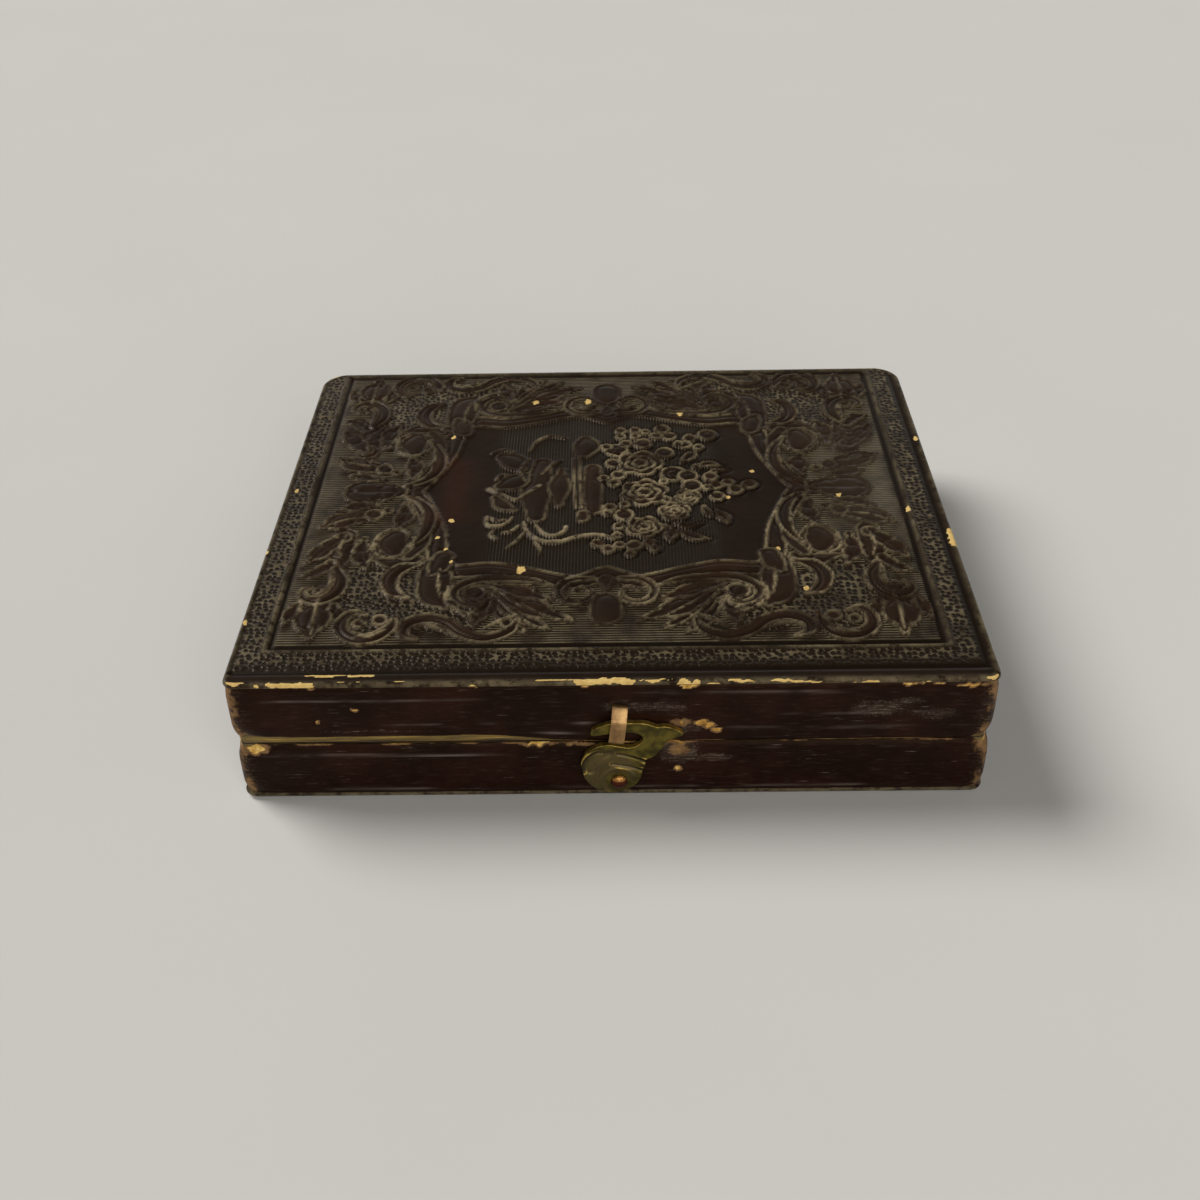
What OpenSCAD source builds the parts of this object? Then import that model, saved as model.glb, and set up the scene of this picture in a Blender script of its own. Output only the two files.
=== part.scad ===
// Leather-covered wooden case for a small photograph on a plate.
// Two shallow trays hinge along a leather spine. The lower one holds the plate under glass,
// the lid holds a velvet pad, and a turning brass hook in front catches a strip keeper.
// Origin: middle of the underside. +X right along the long side, -Y the hook side, +Z up.

/* [Picture package] */
// Length of the photographic plate, along the spine
plate_w = 82.5; // [60:0.5:110]
// Breadth of the plate, from spine to clasp
plate_d = 69.9; // [50:0.1:90]
// Thickness of the plate
plate_t = 0.5; // [0.3:0.1:1.2]
// Thickness of the brass mat
mat_t = 0.35; // [0.2:0.05:0.6]
// Length of the mat's oval opening, along the spine
mat_opening_w = 62; // [40:0.5:70]
// Breadth of the mat's oval opening
mat_opening_d = 50; // [30:0.5:58]
// Thickness of the cover glass
glass_t = 1.8; // [1:0.1:2.5]
// Thickness of the paper tape that seals the package
tape_t = 0.1; // [0.05:0.05:0.2]
// Width of the tape's turned-over lips
tape_lip = 2.2; // [1:0.1:4]
// Thickness of the brass preserver
preserver_t = 0.2; // [0.1:0.05:0.4]
// Width of the preserver's face
preserver_face = 4.2; // [2.5:0.1:6]
// Play between the package and the velvet strip round it
package_play = 0.1; // [0.05:0.05:0.5]

/* [Tray] */
// Thickness of the velvet strip that holds the package
retainer_t = 1; // [0.6:0.1:1.8]
// Height of the velvet strip above the tray's rim
retainer_rise = 1.2; // [0.6:0.1:2]
// Thickness of the packing card under the package
packing_t = 1.4; // [0.8:0.1:3]
// Thickness of the paper lining on the tray floor
lining_t = 0.3; // [0.1:0.1:0.6]
// Depth of the package's face below the rim
package_recess = 1.65; // [1:0.05:3]

/* [Wood] */
// Width of the rails at the front and the spine
rail_w = 3.8; // [3:0.1:6]
// Width of the rails at the two ends
end_rail_w = 4.25; // [3:0.05:6]
// Thickness of the two boards
board_t = 1.9; // [1.5:0.1:4]
// Gap between the two rims when the case is shut
seam_gap = 0.1; // [0.05:0.05:0.3]
// Free space between the velvet strip and the lid's rails
lip_clearance = 0.3; // [0.2:0.05:0.6]

/* [Leather] */
// Thickness of the leather round the edges
edge_leather_t = 0.6; // [0.4:0.1:1]
// Thickness of the cover leather, relief included
cover_leather_t = 0.8; // [0.6:0.05:1.4]
// Height of the embossed relief
relief_h = 0.25; // [0.1:0.05:0.4]
// Rounding of the two upright corners at the spine
corner_r = 4; // [2.5:0.5:6]
// Rounding of the two upright corners beside the clasp
front_corner_r = 1.6; // [1.2:0.1:4]
// Rounding of the covers' outer edge
cover_edge_r = 0.45; // [0.2:0.05:0.5]
// Thickness of the thin leather across the inside of the hinge
inner_hinge_t = 0.25; // [0.15:0.05:0.4]
// Distance of the hinge line behind the spine's face
hinge_out = 0.15; // [0.1:0.05:0.4]

/* [Embossing] */
// Shift of the stamped pattern along X, as the binder set it by hand
stamp_dx = -0.5; // [-2:0.1:2]
// Shift of the stamped pattern along Y
stamp_dy = 3.3; // [-3:0.1:4]
// Width of the groove that frames the pattern
groove_w = 0.7; // [0.4:0.1:1.2]
// Distance from the cover's edge to the groove, at the ends
groove_inset = 5; // [3:0.1:7]
// How much closer to the edge the groove runs at the front and the spine
groove_side_shift = 0.6; // [0:0.1:1.5]
// Width of the raised line inside the groove
frame_line_w = 0.5; // [0.3:0.1:1]
// Plain margin between the border and the cover's edge
cover_margin = 1; // [0.8:0.1:2]
// Width of the wavy moulding round the centre
moulding_w = 1.5; // [0.8:0.1:2.5]
// Width of the scroll bands
scroll_w = 1.1; // [0.6:0.1:1.8]

/* [Lid pad] */
// Thickness of the card behind the pad
pad_card_t = 0.5; // [0.3:0.1:1]
// Height of the pad's drawn-in side
pad_side_h = 5; // [3:0.1:6]
// Gap between the velvet strip's top and the pad's edge
pad_gap = 0.7; // [0.4:0.1:1.5]
// Rise of the pad's crown
pad_crown = 2.6; // [1:0.1:3]
// How far the pad's sides draw in between its corners
pad_draw_in = 0.6; // [0.2:0.1:1.2]
// Play round the pad
pad_play = 0.3; // [0.2:0.1:0.8]

/* [Clasp] */
// Place of the hook's pin along X
hook_x = 0.9; // [-10:0.1:10]
// Depth of the hook's pin below the tray's rim
hook_drop = 5.6; // [5.3:0.05:5.75]
// Thickness of the hook's plate
hook_t = 0.8; // [0.5:0.05:1]
// Space between the hook and the leather
hook_gap = 0.15; // [0.1:0.05:0.3]
// Radius of the pin's shank
pin_r = 0.6; // [0.4:0.05:0.8]
// Length of shank between the hook and the pin's head
pin_play = 0.06; // [0.04:0.02:0.1]
// Radius of the pin's domed head
pin_head_r = 1.05; // [0.9:0.05:1.3]
// Height of the pin's domed head
pin_head_h = 0.65; // [0.4:0.05:0.9]
// Depth of the pin in the wood
pin_depth = 3; // [2:0.1:3.5]
// Radial running clearance of the hook on its pin
hook_clearance = 0.08; // [0.04:0.01:0.1]
// Width of the keeper strip
keeper_w = 1.9; // [1.4:0.1:2.2]
// Thickness of the keeper strip
keeper_t = 0.4; // [0.3:0.05:0.5]
// Depth of the keeper's legs in the wood
keeper_depth = 2.4; // [1.5:0.1:3]
// Space between the keeper's front leg and the hook
keeper_gap = 0.35; // [0.2:0.05:0.6]
// Lean of the keeper strip, seen from the front
keeper_lean = 6.5; // [0:0.5:10]
// Place of the keeper to the left of the hook's pin, before it leans
keeper_dx = 1.1; // [0.8:0.05:1.4]
// Height above the pin at which the keeper leaves the lid
keeper_top = 11.9; // [11.5:0.1:12.2]
// Height of the keeper's bend above the pin
keeper_bend = 10.5; // [10.2:0.1:10.8]
// Height of the keeper's foot above the pin
keeper_foot = 6.95; // [6.8:0.05:7]
// How far the keeper's upper leg falls inside the wood
keeper_leg_fall = 1.1; // [0.5:0.1:2]

/* [Hidden] */
$fn = 48;
fit = 0.02;
least_r = 0.1;

// Rounding of the corners of what lies in the tray
lining_r = 0.2;
card_r = 0.5;
plate_r = 0.8;
window_r = 3;
retainer_inner_r = 0.6;
// Play round the packing card, along the spine and across
card_play = [0.4, 0.1];

// The package decides the tray, and the tray decides the case.
wrap_t = tape_t + preserver_t;
package_side = wrap_t + package_play;
tray_w = plate_w + 2 * (package_side + retainer_t);
tray_d = plate_d + 2 * (package_side + retainer_t);
wood_w = tray_w + 2 * end_rail_w;
wood_d = tray_d + 2 * rail_w;
case_w = wood_w + 2 * edge_leather_t;
case_d = wood_d + 2 * edge_leather_t;

// Heights in the tray, from the underside up
floor_z = cover_leather_t + board_t;
lining_z = floor_z + lining_t;
package_z = lining_z + packing_t;
plate_z = package_z + tape_t;
mat_z = plate_z + plate_t;
glass_z = mat_z + mat_t;
tape_top_z = glass_z + glass_t;
preserver_z = tape_top_z + tape_t;
package_top_z = preserver_z + preserver_t;
base_h = package_top_z + package_recess;

// Heights in the lid
lid_z = base_h + seam_gap;
pad_edge_z = lid_z + retainer_rise + pad_gap;
pad_back_z = pad_edge_z + pad_side_h;
lid_board_z = pad_back_z + pad_card_t;
lid_cover_z = lid_board_z + board_t;
case_h = lid_cover_z + cover_leather_t;
hinge_z = base_h + seam_gap / 2;
hinge_y = case_d / 2 + hinge_out;
lid_tray_w = tray_w + 2 * lip_clearance;
lid_tray_d = tray_d + 2 * lip_clearance;

// Clasp places
face_y = -case_d / 2;
hook_z = base_h - hook_drop;
hook_back_y = face_y - hook_gap;
hook_front_y = hook_back_y - hook_t;

// The pebbled border stops short of the stamp's ends and runs past its sides
border_end_gap = 1.2;
border_side_over = 0.5;

// Embossed frame: half sizes to the middle of the groove, and of the pebbled border outside it
frame_half_w = case_w / 2 - groove_inset;
frame_half_d = case_d / 2 - groove_inset + groove_side_shift;
border_half_w = case_w / 2 - border_end_gap;
border_half_d = case_d / 2 + border_side_over;

// Outline of the hook round its pin, finger tip first, corners given twice.
hook_finger = [[-3.5, 7.75], [-3.3, 8.45], [-2.25, 9.15], [-0.8, 9.6], [2.9, 9.6], [4.1, 9.25],
    [4.85, 8.95], [4.85, 8.95]];
hook_leaf = [[5.6, 9.05], [6.7, 8.75], [8.05, 7.85], [8.05, 7.85], [7.25, 7.25], [6.05, 6.65], [6.05, 6.65]];
hook_heel = [[5.4, 5.4], [4.4, 4.1], [3.4, 3.55], [3.4, 3.55], [3.35, 2.7]];
hook_lobe_r = 3.8;
hook_lobe_at = [-0.8, 1.9];
hook_lobe = [for (a = [0:-22.5:-180]) hook_lobe_at + hook_lobe_r * [cos(a), sin(a)]];
hook_neck = [[-4.75, 3.2], [-4.1, 4.6], [-2.9, 5.65], [-1.4, 6.1], [0.1, 5.8], [1.4, 5.6]];
hook_slot = [[2.4, 6.05], [3.05, 7], [2.6, 7.8], [1.6, 8.1], [0.5, 8.05], [-1.3, 7.9], [-2.7, 7.65]];
hook_points = concat(hook_finger, hook_leaf, hook_heel, hook_lobe, hook_neck, hook_slot);

// A quarter of the wavy moulding round the centre, from the middle of the front to the end
moulding_quarter = [[0, -20.8], [4.5, -22.8], [10.5, -20.3], [15.5, -19.3], [20.5, -20.6],
    [22.5, -17], [23.5, -10], [26.3, -3]];
moulding_tip = [[27.6, 0]];

function flip(p, sx, sy) = [for (q = p) [q[0] * sx, q[1] * sy]];
function back(p) = [for (i = [len(p) - 1:-1:0]) p[i]];
function tail(p) = [for (i = [1:len(p) - 1]) p[i]];
function unit(p) = p / norm(p);
function grow(p, g) = [for (q = p) q + g * unit(q)];

// Closed smooth curve through the given points
function spline(p, n) = [for (i = [0:len(p) - 1], k = [0:n - 1])
    let (m = len(p), a = p[(i + m - 1) % m], b = p[i], c = p[(i + 1) % m], d = p[(i + 2) % m], t = k / n)
    if (!(k > 0 && norm(c - b) < 0.01))
    0.5 * (2 * b + (c - a) * t + (2 * a - 5 * b + 4 * c - d) * t * t
        + (3 * b - a - 3 * c + d) * t * t * t)];

// The moulding's whole run: front right, back right, back left, front left
moulding_half = concat(moulding_quarter, moulding_tip, flip(back(tail(moulding_quarter)), 1, -1));
moulding_run = concat(moulding_half, [[0, 20.8]], flip(back(tail(moulding_half)), -1, 1));

module rounded(w, d, r) {
    square([w - 2 * r, d], center = true);
    square([w, d - 2 * r], center = true);
    for (sx = [-1, 1], sy = [-1, 1])
        translate([sx * (w / 2 - r), sy * (d / 2 - r)])
            circle(r);
}

// The case's outline seen from above, drawn in by the given distance
module case_outline(in) {
    w = case_w - 2 * in;
    d = case_d - 2 * in;
    front = max(front_corner_r - in, least_r);
    back = max(corner_r - in, least_r);
    translate([-w / 2, front - d / 2])
        square([w, d - front - back]);
    translate([front - w / 2, -d / 2])
        square([w - 2 * front, front + back]);
    translate([back - w / 2, d / 2 - 2 * back])
        square([w - 2 * back, 2 * back]);
    for (sx = [-1, 1]) {
        translate([sx * (w / 2 - front), front - d / 2])
            circle(front);
        translate([sx * (w / 2 - back), d / 2 - back])
            circle(back);
    }
}

module slab(w, d, r, z, t) {
    translate([0, 0, z])
        linear_extrude(t)
            rounded(w, d, r);
}

// A flat ring: outer size, outer radius, inner size, inner radius
module ring(w, d, r, iw, id, ir, z, t) {
    translate([0, 0, z])
        linear_extrude(t)
            difference() {
                rounded(w, d, r);
                rounded(iw, id, ir);
            }
}

// One rail of four, mitred from the hollow's corner to the wood's. side 0 front, 1 right, 2 back, 3 left
module rail(side, iw, id, z, t) {
    x = iw / 2;
    y = id / 2;
    far_x = wood_w - x;
    far_y = wood_d - y;
    sectors = [
        [[-x, -y], [x, -y], [far_x, -far_y], [-far_x, -far_y]],
        [[x, -y], [x, y], [far_x, far_y], [far_x, -far_y]],
        [[x, y], [-x, y], [-far_x, far_y], [far_x, far_y]],
        [[-x, y], [-x, -y], [-far_x, -far_y], [-far_x, far_y]]];
    translate([0, 0, z])
        linear_extrude(t)
            intersection() {
                difference() {
                    case_outline(edge_leather_t);
                    square([iw, id], center = true);
                }
                polygon(sectors[side]);
            }
}

// Leather round the wood. part "edge" covers front and ends, "spine" covers the back
module skin(part, z, t) {
    cut_y = case_d / 2 - corner_r;
    reach = case_w;
    translate([0, 0, z])
        linear_extrude(t)
            intersection() {
                difference() {
                    case_outline(0);
                    case_outline(edge_leather_t);
                }
                translate([-reach, part == "spine" ? cut_y : cut_y - 2 * reach])
                    square([2 * reach, 2 * reach]);
            }
}

// A scroll that winds in as it turns, drawn as one band that narrows towards its eye
module scroll(r, turns, w) {
    steps = ceil(turns * 14);
    eye = 0.24;
    outer = [for (i = [0:steps]) let (s = i / steps, q = r * (1 - s * (1 - eye)))
        [q * cos(360 * turns * s), q * sin(360 * turns * s)]];
    inner = [for (i = [steps:-1:0]) let (s = i / steps, q = r * (1 - s * (1 - eye)) - w * (1 - 0.6 * s))
        [q * cos(360 * turns * s), q * sin(360 * turns * s)]];
    polygon(concat(outer, inner));
}

// A pointed leaf along +X with its widest place near the stem
module leaf(l, w) {
    polygon(concat(
        [for (t = [0:0.1:1]) [l * t, w / 2 * sin(180 * pow(t, 0.7))]],
        [for (t = [0.9:-0.1:0.1]) [l * t, -w / 2 * sin(180 * pow(t, 0.7))]]));
}

module blossom(r, petals) {
    polygon([for (a = [0:360 / (petals * 6):359]) r * (0.85 + 0.15 * cos(petals * a)) * [cos(a), sin(a)]]);
}

// A quarter of the scroll work, front right of the centre
module scroll_quarter() {
    translate([17.5, -25])
        rotate(150)
            scroll(3.6, 1.3, scroll_w);
    translate([12, -28])
        rotate(200)
            leaf(6, 3.4);
    translate([9, -31])
        rotate(-8)
            leaf(7, 2.6);
    translate([20.5, -31.6])
        rotate(12)
            leaf(7, 2.4);
    translate([30.8, -32])
        rotate(100)
            scroll(3.3, 1.25, scroll_w);
    translate([28.8, -13])
        rotate(250)
            scroll(3.8, 1.35, scroll_w);
    translate([31, -21])
        rotate(55)
            leaf(7, 3);
    translate([36.6, -17.5])
        rotate(95)
            leaf(9, 3.2);
    translate([37.4, -27])
        rotate(80)
            leaf(6.5, 3.8);
    translate([27.5, -24.5])
        rotate(35)
            leaf(5, 2.2);
}

// A square-cornered line round the stamped field, its outer side at the given half sizes
module field_line(half_w, half_d, w) {
    difference() {
        square([2 * half_w, 2 * half_d], center = true);
        square([2 * (half_w - w), 2 * (half_d - w)], center = true);
    }
}

// The border outside the groove, cut off where it would run past the cover's edge
module border() {
    difference() {
        intersection() {
            translate([stamp_dx, stamp_dy])
                square([2 * border_half_w, 2 * border_half_d], center = true);
            case_outline(cover_margin);
        }
        translate([stamp_dx, stamp_dy])
            square([2 * frame_half_w + groove_w, 2 * frame_half_d + groove_w], center = true);
    }
}

// The stamped ornament: frame line, scrolls, wavy moulding and a bunch of flowers
module ornament() {
    field_line(frame_half_w - groove_w / 2, frame_half_d - groove_w / 2, frame_line_w);
    difference() {
        polygon(spline(grow(moulding_run, moulding_w / 2), 3));
        polygon(spline(grow(moulding_run, -moulding_w / 2), 3));
    }
    for (sx = [-1, 1], sy = [-1, 1])
        scale([sx, sy])
            scroll_quarter();
    for (sy = [-1, 1])
        scale([1, sy]) {
            translate([0, -26.2])
                rotate(-90)
                    leaf(7, 5);
            for (sx = [-1, 1])
                translate([sx * 3.6, -26.2])
                    circle(1.9);
        }
    for (sx = [-1, 1])
        scale([sx, 1])
            translate([31, 0])
                leaf(8, 6);
    bouquet();
}

// Flowers and leaves at the right of the centre, a footed vase at the left
module bouquet() {
    for (b = [[5.6, 6.4, 3.9], [7, -1.5, 3.2], [0.5, 12.5, 2.6], [0.5, -3.3, 2.4], [12.5, 3, 2.3],
        [9.5, -8.5, 2.4], [2, -10, 2.2], [14.5, -3.5, 1.9]])
        translate([b[0], b[1]])
            blossom(b[2], 5);
    for (l = [[10.2, 9.6, 35, 6], [7, 12, 70, 6], [0.6, 3.6, 130, 4], [14, 6.6, 15, 5],
        [13, -8, -25, 5.5], [4.5, -12.5, -70, 5]])
        translate([l[0], l[1]])
            rotate(l[2])
                leaf(l[3], l[3] * 0.42);
    translate([-6.2, -6])
        square([1.1, 15]);
    polygon([[-7.2, -6], [-7.2, 9], [-13.5, 5.5], [-15, 1.5], [-13.5, -2.5]]);
    translate([-19.6, -4])
        square([2.6, 11]);
}

// A cover of leather with its outer edge rounded, ground side up, at z = 0
module cover() {
    ground = cover_leather_t - relief_h;
    steps = 3;
    slice = 0.05;
    hull() {
        linear_extrude(slice)
            case_outline(0, $fn = 32);
        for (i = [0:steps])
            let (a = 90 * i / steps)
                translate([0, 0, ground - cover_edge_r + cover_edge_r * sin(a) - slice])
                    linear_extrude(slice)
                        case_outline(cover_edge_r * (1 - cos(a)), $fn = 32);
    }
    translate([0, 0, ground - slice])
        linear_extrude(relief_h + slice) {
            border();
            translate([stamp_dx, stamp_dy])
                ornament();
        }
}

// Tray: wood
module board(z) {
    translate([0, 0, z])
        linear_extrude(board_t)
            case_outline(edge_leather_t);
}

module base_board() color("peru") board(cover_leather_t);

module base_front_rail() color("burlywood")
    difference() {
        rail(0, tray_w, tray_d, floor_z, base_h - floor_z);
        pin_bore();
    }

module base_right_rail() color("burlywood") rail(1, tray_w, tray_d, floor_z, base_h - floor_z);

module base_back_rail() color("burlywood")
    rail(2, tray_w, tray_d, floor_z, base_h - inner_hinge_t - floor_z);

module base_left_rail() color("burlywood") rail(3, tray_w, tray_d, floor_z, base_h - floor_z);

// Tray: leather
module base_bottom_leather() color("saddlebrown")
    translate([0, 0, cover_leather_t])
        rotate([0, 180, 0])
            cover();

module base_edge_leather() color("#3a1d14")
    difference() {
        skin("edge", cover_leather_t, base_h - cover_leather_t);
        pin_bore();
    }

module spine_leather_base() color("#3a1d14") skin("spine", cover_leather_t, base_h - cover_leather_t);

module inner_hinge_base() color("#5a3020")
    inner_hinge(base_h - inner_hinge_t, tray_d / 2);

// A strip over the rim of the spine rail, mitred like the rail
module inner_hinge(z, from_y) {
    end = tray_w / 2;
    reach = wood_d / 2 - from_y;
    translate([0, 0, z])
        linear_extrude(inner_hinge_t)
            polygon([[-end, from_y], [end, from_y], [end, from_y + reach], [-end, from_y + reach]]);
}

// Tray: what it holds
module floor_lining() color("wheat") slab(tray_w, tray_d, lining_r, floor_z, lining_t);

module packing_card() color("tan")
    slab(tray_w - 2 * retainer_t - card_play[0], tray_d - 2 * retainer_t - card_play[1], card_r,
        lining_z, packing_t);

module velvet_retainer() color("#7a1420")
    ring(tray_w, tray_d, lining_r, tray_w - 2 * retainer_t, tray_d - 2 * retainer_t, retainer_inner_r,
        lining_z, base_h + retainer_rise - lining_z);

module image_plate() color("silver") slab(plate_w, plate_d, plate_r, plate_z, plate_t);

module brass_mat() color("gold")
    translate([0, 0, mat_z])
        linear_extrude(mat_t)
            difference() {
                rounded(plate_w, plate_d, plate_r);
                polygon([for (a = [0:5:355]) [mat_opening_w / 2 * cos(a), mat_opening_d / 2 * sin(a)]]);
            }

module cover_glass() color("lightcyan") slab(plate_w, plate_d, plate_r, glass_z, glass_t);

module binding_tape() color("#3b3330")
    difference() {
        slab(plate_w + 2 * tape_t, plate_d + 2 * tape_t, plate_r + tape_t, package_z, preserver_z - package_z);
        slab(plate_w, plate_d, plate_r, plate_z, tape_top_z - plate_z);
        slab(plate_w - 2 * tape_lip, plate_d - 2 * tape_lip, plate_r, package_z - 1, package_top_z);
    }

module preserver() color("#c9a13b")
    difference() {
        slab(plate_w + 2 * wrap_t, plate_d + 2 * wrap_t, plate_r + wrap_t, package_z, package_top_z - package_z);
        slab(plate_w + 2 * tape_t, plate_d + 2 * tape_t, plate_r + tape_t,
            package_z - 1, preserver_z - package_z + 1);
        slab(plate_w - 2 * preserver_face, plate_d - 2 * preserver_face, window_r,
            preserver_z - 1, preserver_t + 2);
    }

// Clasp
module pin_bore() {
    translate([hook_x, face_y - 1, hook_z])
        rotate([-90, 0, 0])
            cylinder(r = pin_r + fit, h = 1 + edge_leather_t + pin_depth + fit);
}

module hook_pin() color("#b4703a")
    translate([hook_x, hook_front_y - pin_play, hook_z]) {
        rotate([-90, 0, 0])
            cylinder(r = pin_r, h = face_y + edge_leather_t + pin_depth - hook_front_y + pin_play);
        rotate([90, 0, 0])
            rotate_extrude()
                polygon(concat([[0, 0]],
                    [for (a = [0:15:90]) [pin_head_r * cos(a), pin_head_h * sin(a)]]));
    }

module hook() color("#8a7a2c")
    translate([hook_x, hook_back_y, hook_z])
        rotate([90, 0, 0])
            difference() {
                linear_extrude(hook_t)
                    polygon(spline(hook_points, 3));
                translate([0, 0, -1])
                    cylinder(r = pin_r + hook_clearance, h = hook_t + 2);
            }

// The keeper's strip seen from the side: out of the lid, down in front of the hook, back in.
// Its front leg leans out a little, and its lower leg dips before it climbs into the wood.
keeper_out = hook_gap + hook_t + keeper_gap;
keeper_lean_out = 0.15;
keeper_dip = 0.25;
keeper_climb = 0.2;

module keeper_strip() {
    in = edge_leather_t + keeper_depth;
    t = keeper_t;
    o = keeper_out;
    polygon([[in, keeper_top - t - keeper_leg_fall], [in, keeper_top - keeper_leg_fall], [0, keeper_top],
        [-o - t, keeper_bend], [-o - t - keeper_lean_out, keeper_foot], [0, keeper_foot - keeper_dip],
        [in, keeper_foot + keeper_climb], [in, keeper_foot + keeper_climb + t],
        [0, keeper_foot - keeper_dip + t], [-o - keeper_lean_out, keeper_foot + t],
        [-o, keeper_bend - t / 2], [0, keeper_top - t]]);
}

// The bent strip in its place, widened all round by the given amount where it cuts its own slots
module keeper_solid(extra) {
    w = keeper_w + 2 * extra;
    translate([hook_x, face_y, hook_z])
        rotate([0, keeper_lean, 0])
            translate([-w / 2 - keeper_dx, 0, 0])
                rotate([90, 0, 90])
                    linear_extrude(w)
                        if (extra > 0)
                            offset(delta = extra)
                                keeper_strip();
                        else
                            keeper_strip();
}

module keeper() color("#c79a4c") keeper_solid(0);

// Lid: wood
module lid_board() color("peru") board(lid_board_z);

module lid_front_rail() color("burlywood")
    difference() {
        rail(0, lid_tray_w, lid_tray_d, lid_z, lid_board_z - lid_z);
        keeper_solid(fit);
    }

module lid_right_rail() color("burlywood") rail(1, lid_tray_w, lid_tray_d, lid_z, lid_board_z - lid_z);

module lid_back_rail() color("burlywood")
    rail(2, lid_tray_w, lid_tray_d, lid_z + inner_hinge_t, lid_board_z - lid_z - inner_hinge_t);

module lid_left_rail() color("burlywood") rail(3, lid_tray_w, lid_tray_d, lid_z, lid_board_z - lid_z);

// Lid: leather
module lid_top_leather() color("saddlebrown") translate([0, 0, lid_cover_z]) cover();

module lid_edge_leather() color("#3a1d14")
    difference() {
        skin("edge", lid_z, lid_cover_z - lid_z);
        keeper_solid(fit);
    }

module spine_leather_lid() color("#3a1d14") skin("spine", lid_z, lid_cover_z - lid_z);

module inner_hinge_lid() color("#5a3020") inner_hinge(lid_z, lid_tray_d / 2);

// Lid: pad
module pad_card() color("tan")
    slab(lid_tray_w - 2 * pad_play, lid_tray_d - 2 * pad_play, card_r, pad_back_z, pad_card_t);

// Half sizes of the pad and the points round it at one level
pad_x = lid_tray_w / 2 - pad_play;
pad_y = lid_tray_d / 2 - pad_play;
pad_round = 60;
pad_power = 0.17;

function signed_power(v, p) = sign(v) * pow(abs(v), p);
function pad_ring(s, inset, z) = [for (j = [0:pad_round - 1])
    let (a = 360 * (j + 0.5) / pad_round,
        x = signed_power(cos(a), pad_power),
        y = signed_power(sin(a), pad_power),
        dx = pad_draw_in * (1 - y * y),
        dy = pad_draw_in * (1 - x * x))
    [s * x * (pad_x - inset - dx), s * y * (pad_y - inset - dy), z]];
function crown_z(s) = pad_edge_z - pad_crown * pow(1 - s * s, 1.5);

pad_rings = concat(
    [for (s = [0.08, 0.25, 0.42, 0.58, 0.72, 0.84, 0.93]) pad_ring(s, 0.9, crown_z(s))],
    [pad_ring(1, 0.9, pad_edge_z), pad_ring(1, 0.35, pad_edge_z + 0.35), pad_ring(1, 0, pad_edge_z + 1.1),
        pad_ring(1, 0, pad_back_z - 1), pad_ring(1, 0.3, pad_back_z)]);

module velvet_pad() color("#8e1a2a") {
    m = pad_round;
    n = len(pad_rings);
    polyhedron(
        points = [for (r = pad_rings) each r],
        faces = concat(
            [[for (j = [0:m - 1]) j]],
            [for (k = [0:n - 2], j = [0:m - 1])
                [k * m + j, (k + 1) * m + j, k * m + (j + 1) % m]],
            [for (k = [0:n - 2], j = [0:m - 1])
                [(k + 1) * m + j, (k + 1) * m + (j + 1) % m, k * m + (j + 1) % m]],
            [[for (j = [m - 1:-1:0]) (n - 1) * m + j]]));
}

base_board();
base_front_rail();
base_back_rail();
base_left_rail();
base_right_rail();
base_bottom_leather();
base_edge_leather();
spine_leather_base();
inner_hinge_base();
floor_lining();
packing_card();
velvet_retainer();
image_plate();
brass_mat();
cover_glass();
binding_tape();
preserver();
hook_pin();
hook();
lid_board();
lid_front_rail();
lid_back_rail();
lid_left_rail();
lid_right_rail();
lid_top_leather();
lid_edge_leather();
spine_leather_lid();
inner_hinge_lid();
pad_card();
velvet_pad();
keeper();
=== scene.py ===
"""Looks of a small leather-covered photograph case: stamped covers, worn edges, brass clasp,
velvet pad and a glazed plate. Lengths are in millimetres until place() or MM turns them into metres."""

import math
from contextlib import contextmanager

import bpy
import numpy as np
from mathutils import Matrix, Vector


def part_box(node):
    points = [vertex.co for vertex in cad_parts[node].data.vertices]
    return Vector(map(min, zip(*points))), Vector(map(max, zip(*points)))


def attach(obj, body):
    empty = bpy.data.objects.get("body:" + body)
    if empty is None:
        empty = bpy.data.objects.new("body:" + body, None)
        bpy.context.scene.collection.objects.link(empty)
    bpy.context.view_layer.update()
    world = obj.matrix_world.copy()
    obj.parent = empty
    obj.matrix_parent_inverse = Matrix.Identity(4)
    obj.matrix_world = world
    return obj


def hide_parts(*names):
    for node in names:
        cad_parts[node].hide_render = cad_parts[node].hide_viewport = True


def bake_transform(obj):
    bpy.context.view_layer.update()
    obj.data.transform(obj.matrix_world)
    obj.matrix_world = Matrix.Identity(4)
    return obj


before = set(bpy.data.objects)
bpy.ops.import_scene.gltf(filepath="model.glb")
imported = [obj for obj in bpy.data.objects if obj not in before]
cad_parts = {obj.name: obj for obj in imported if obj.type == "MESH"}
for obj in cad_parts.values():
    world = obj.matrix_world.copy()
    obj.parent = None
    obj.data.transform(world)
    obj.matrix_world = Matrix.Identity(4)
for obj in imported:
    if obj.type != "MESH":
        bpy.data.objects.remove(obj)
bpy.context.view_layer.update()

scene = bpy.context.scene
MM = 0.001

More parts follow.
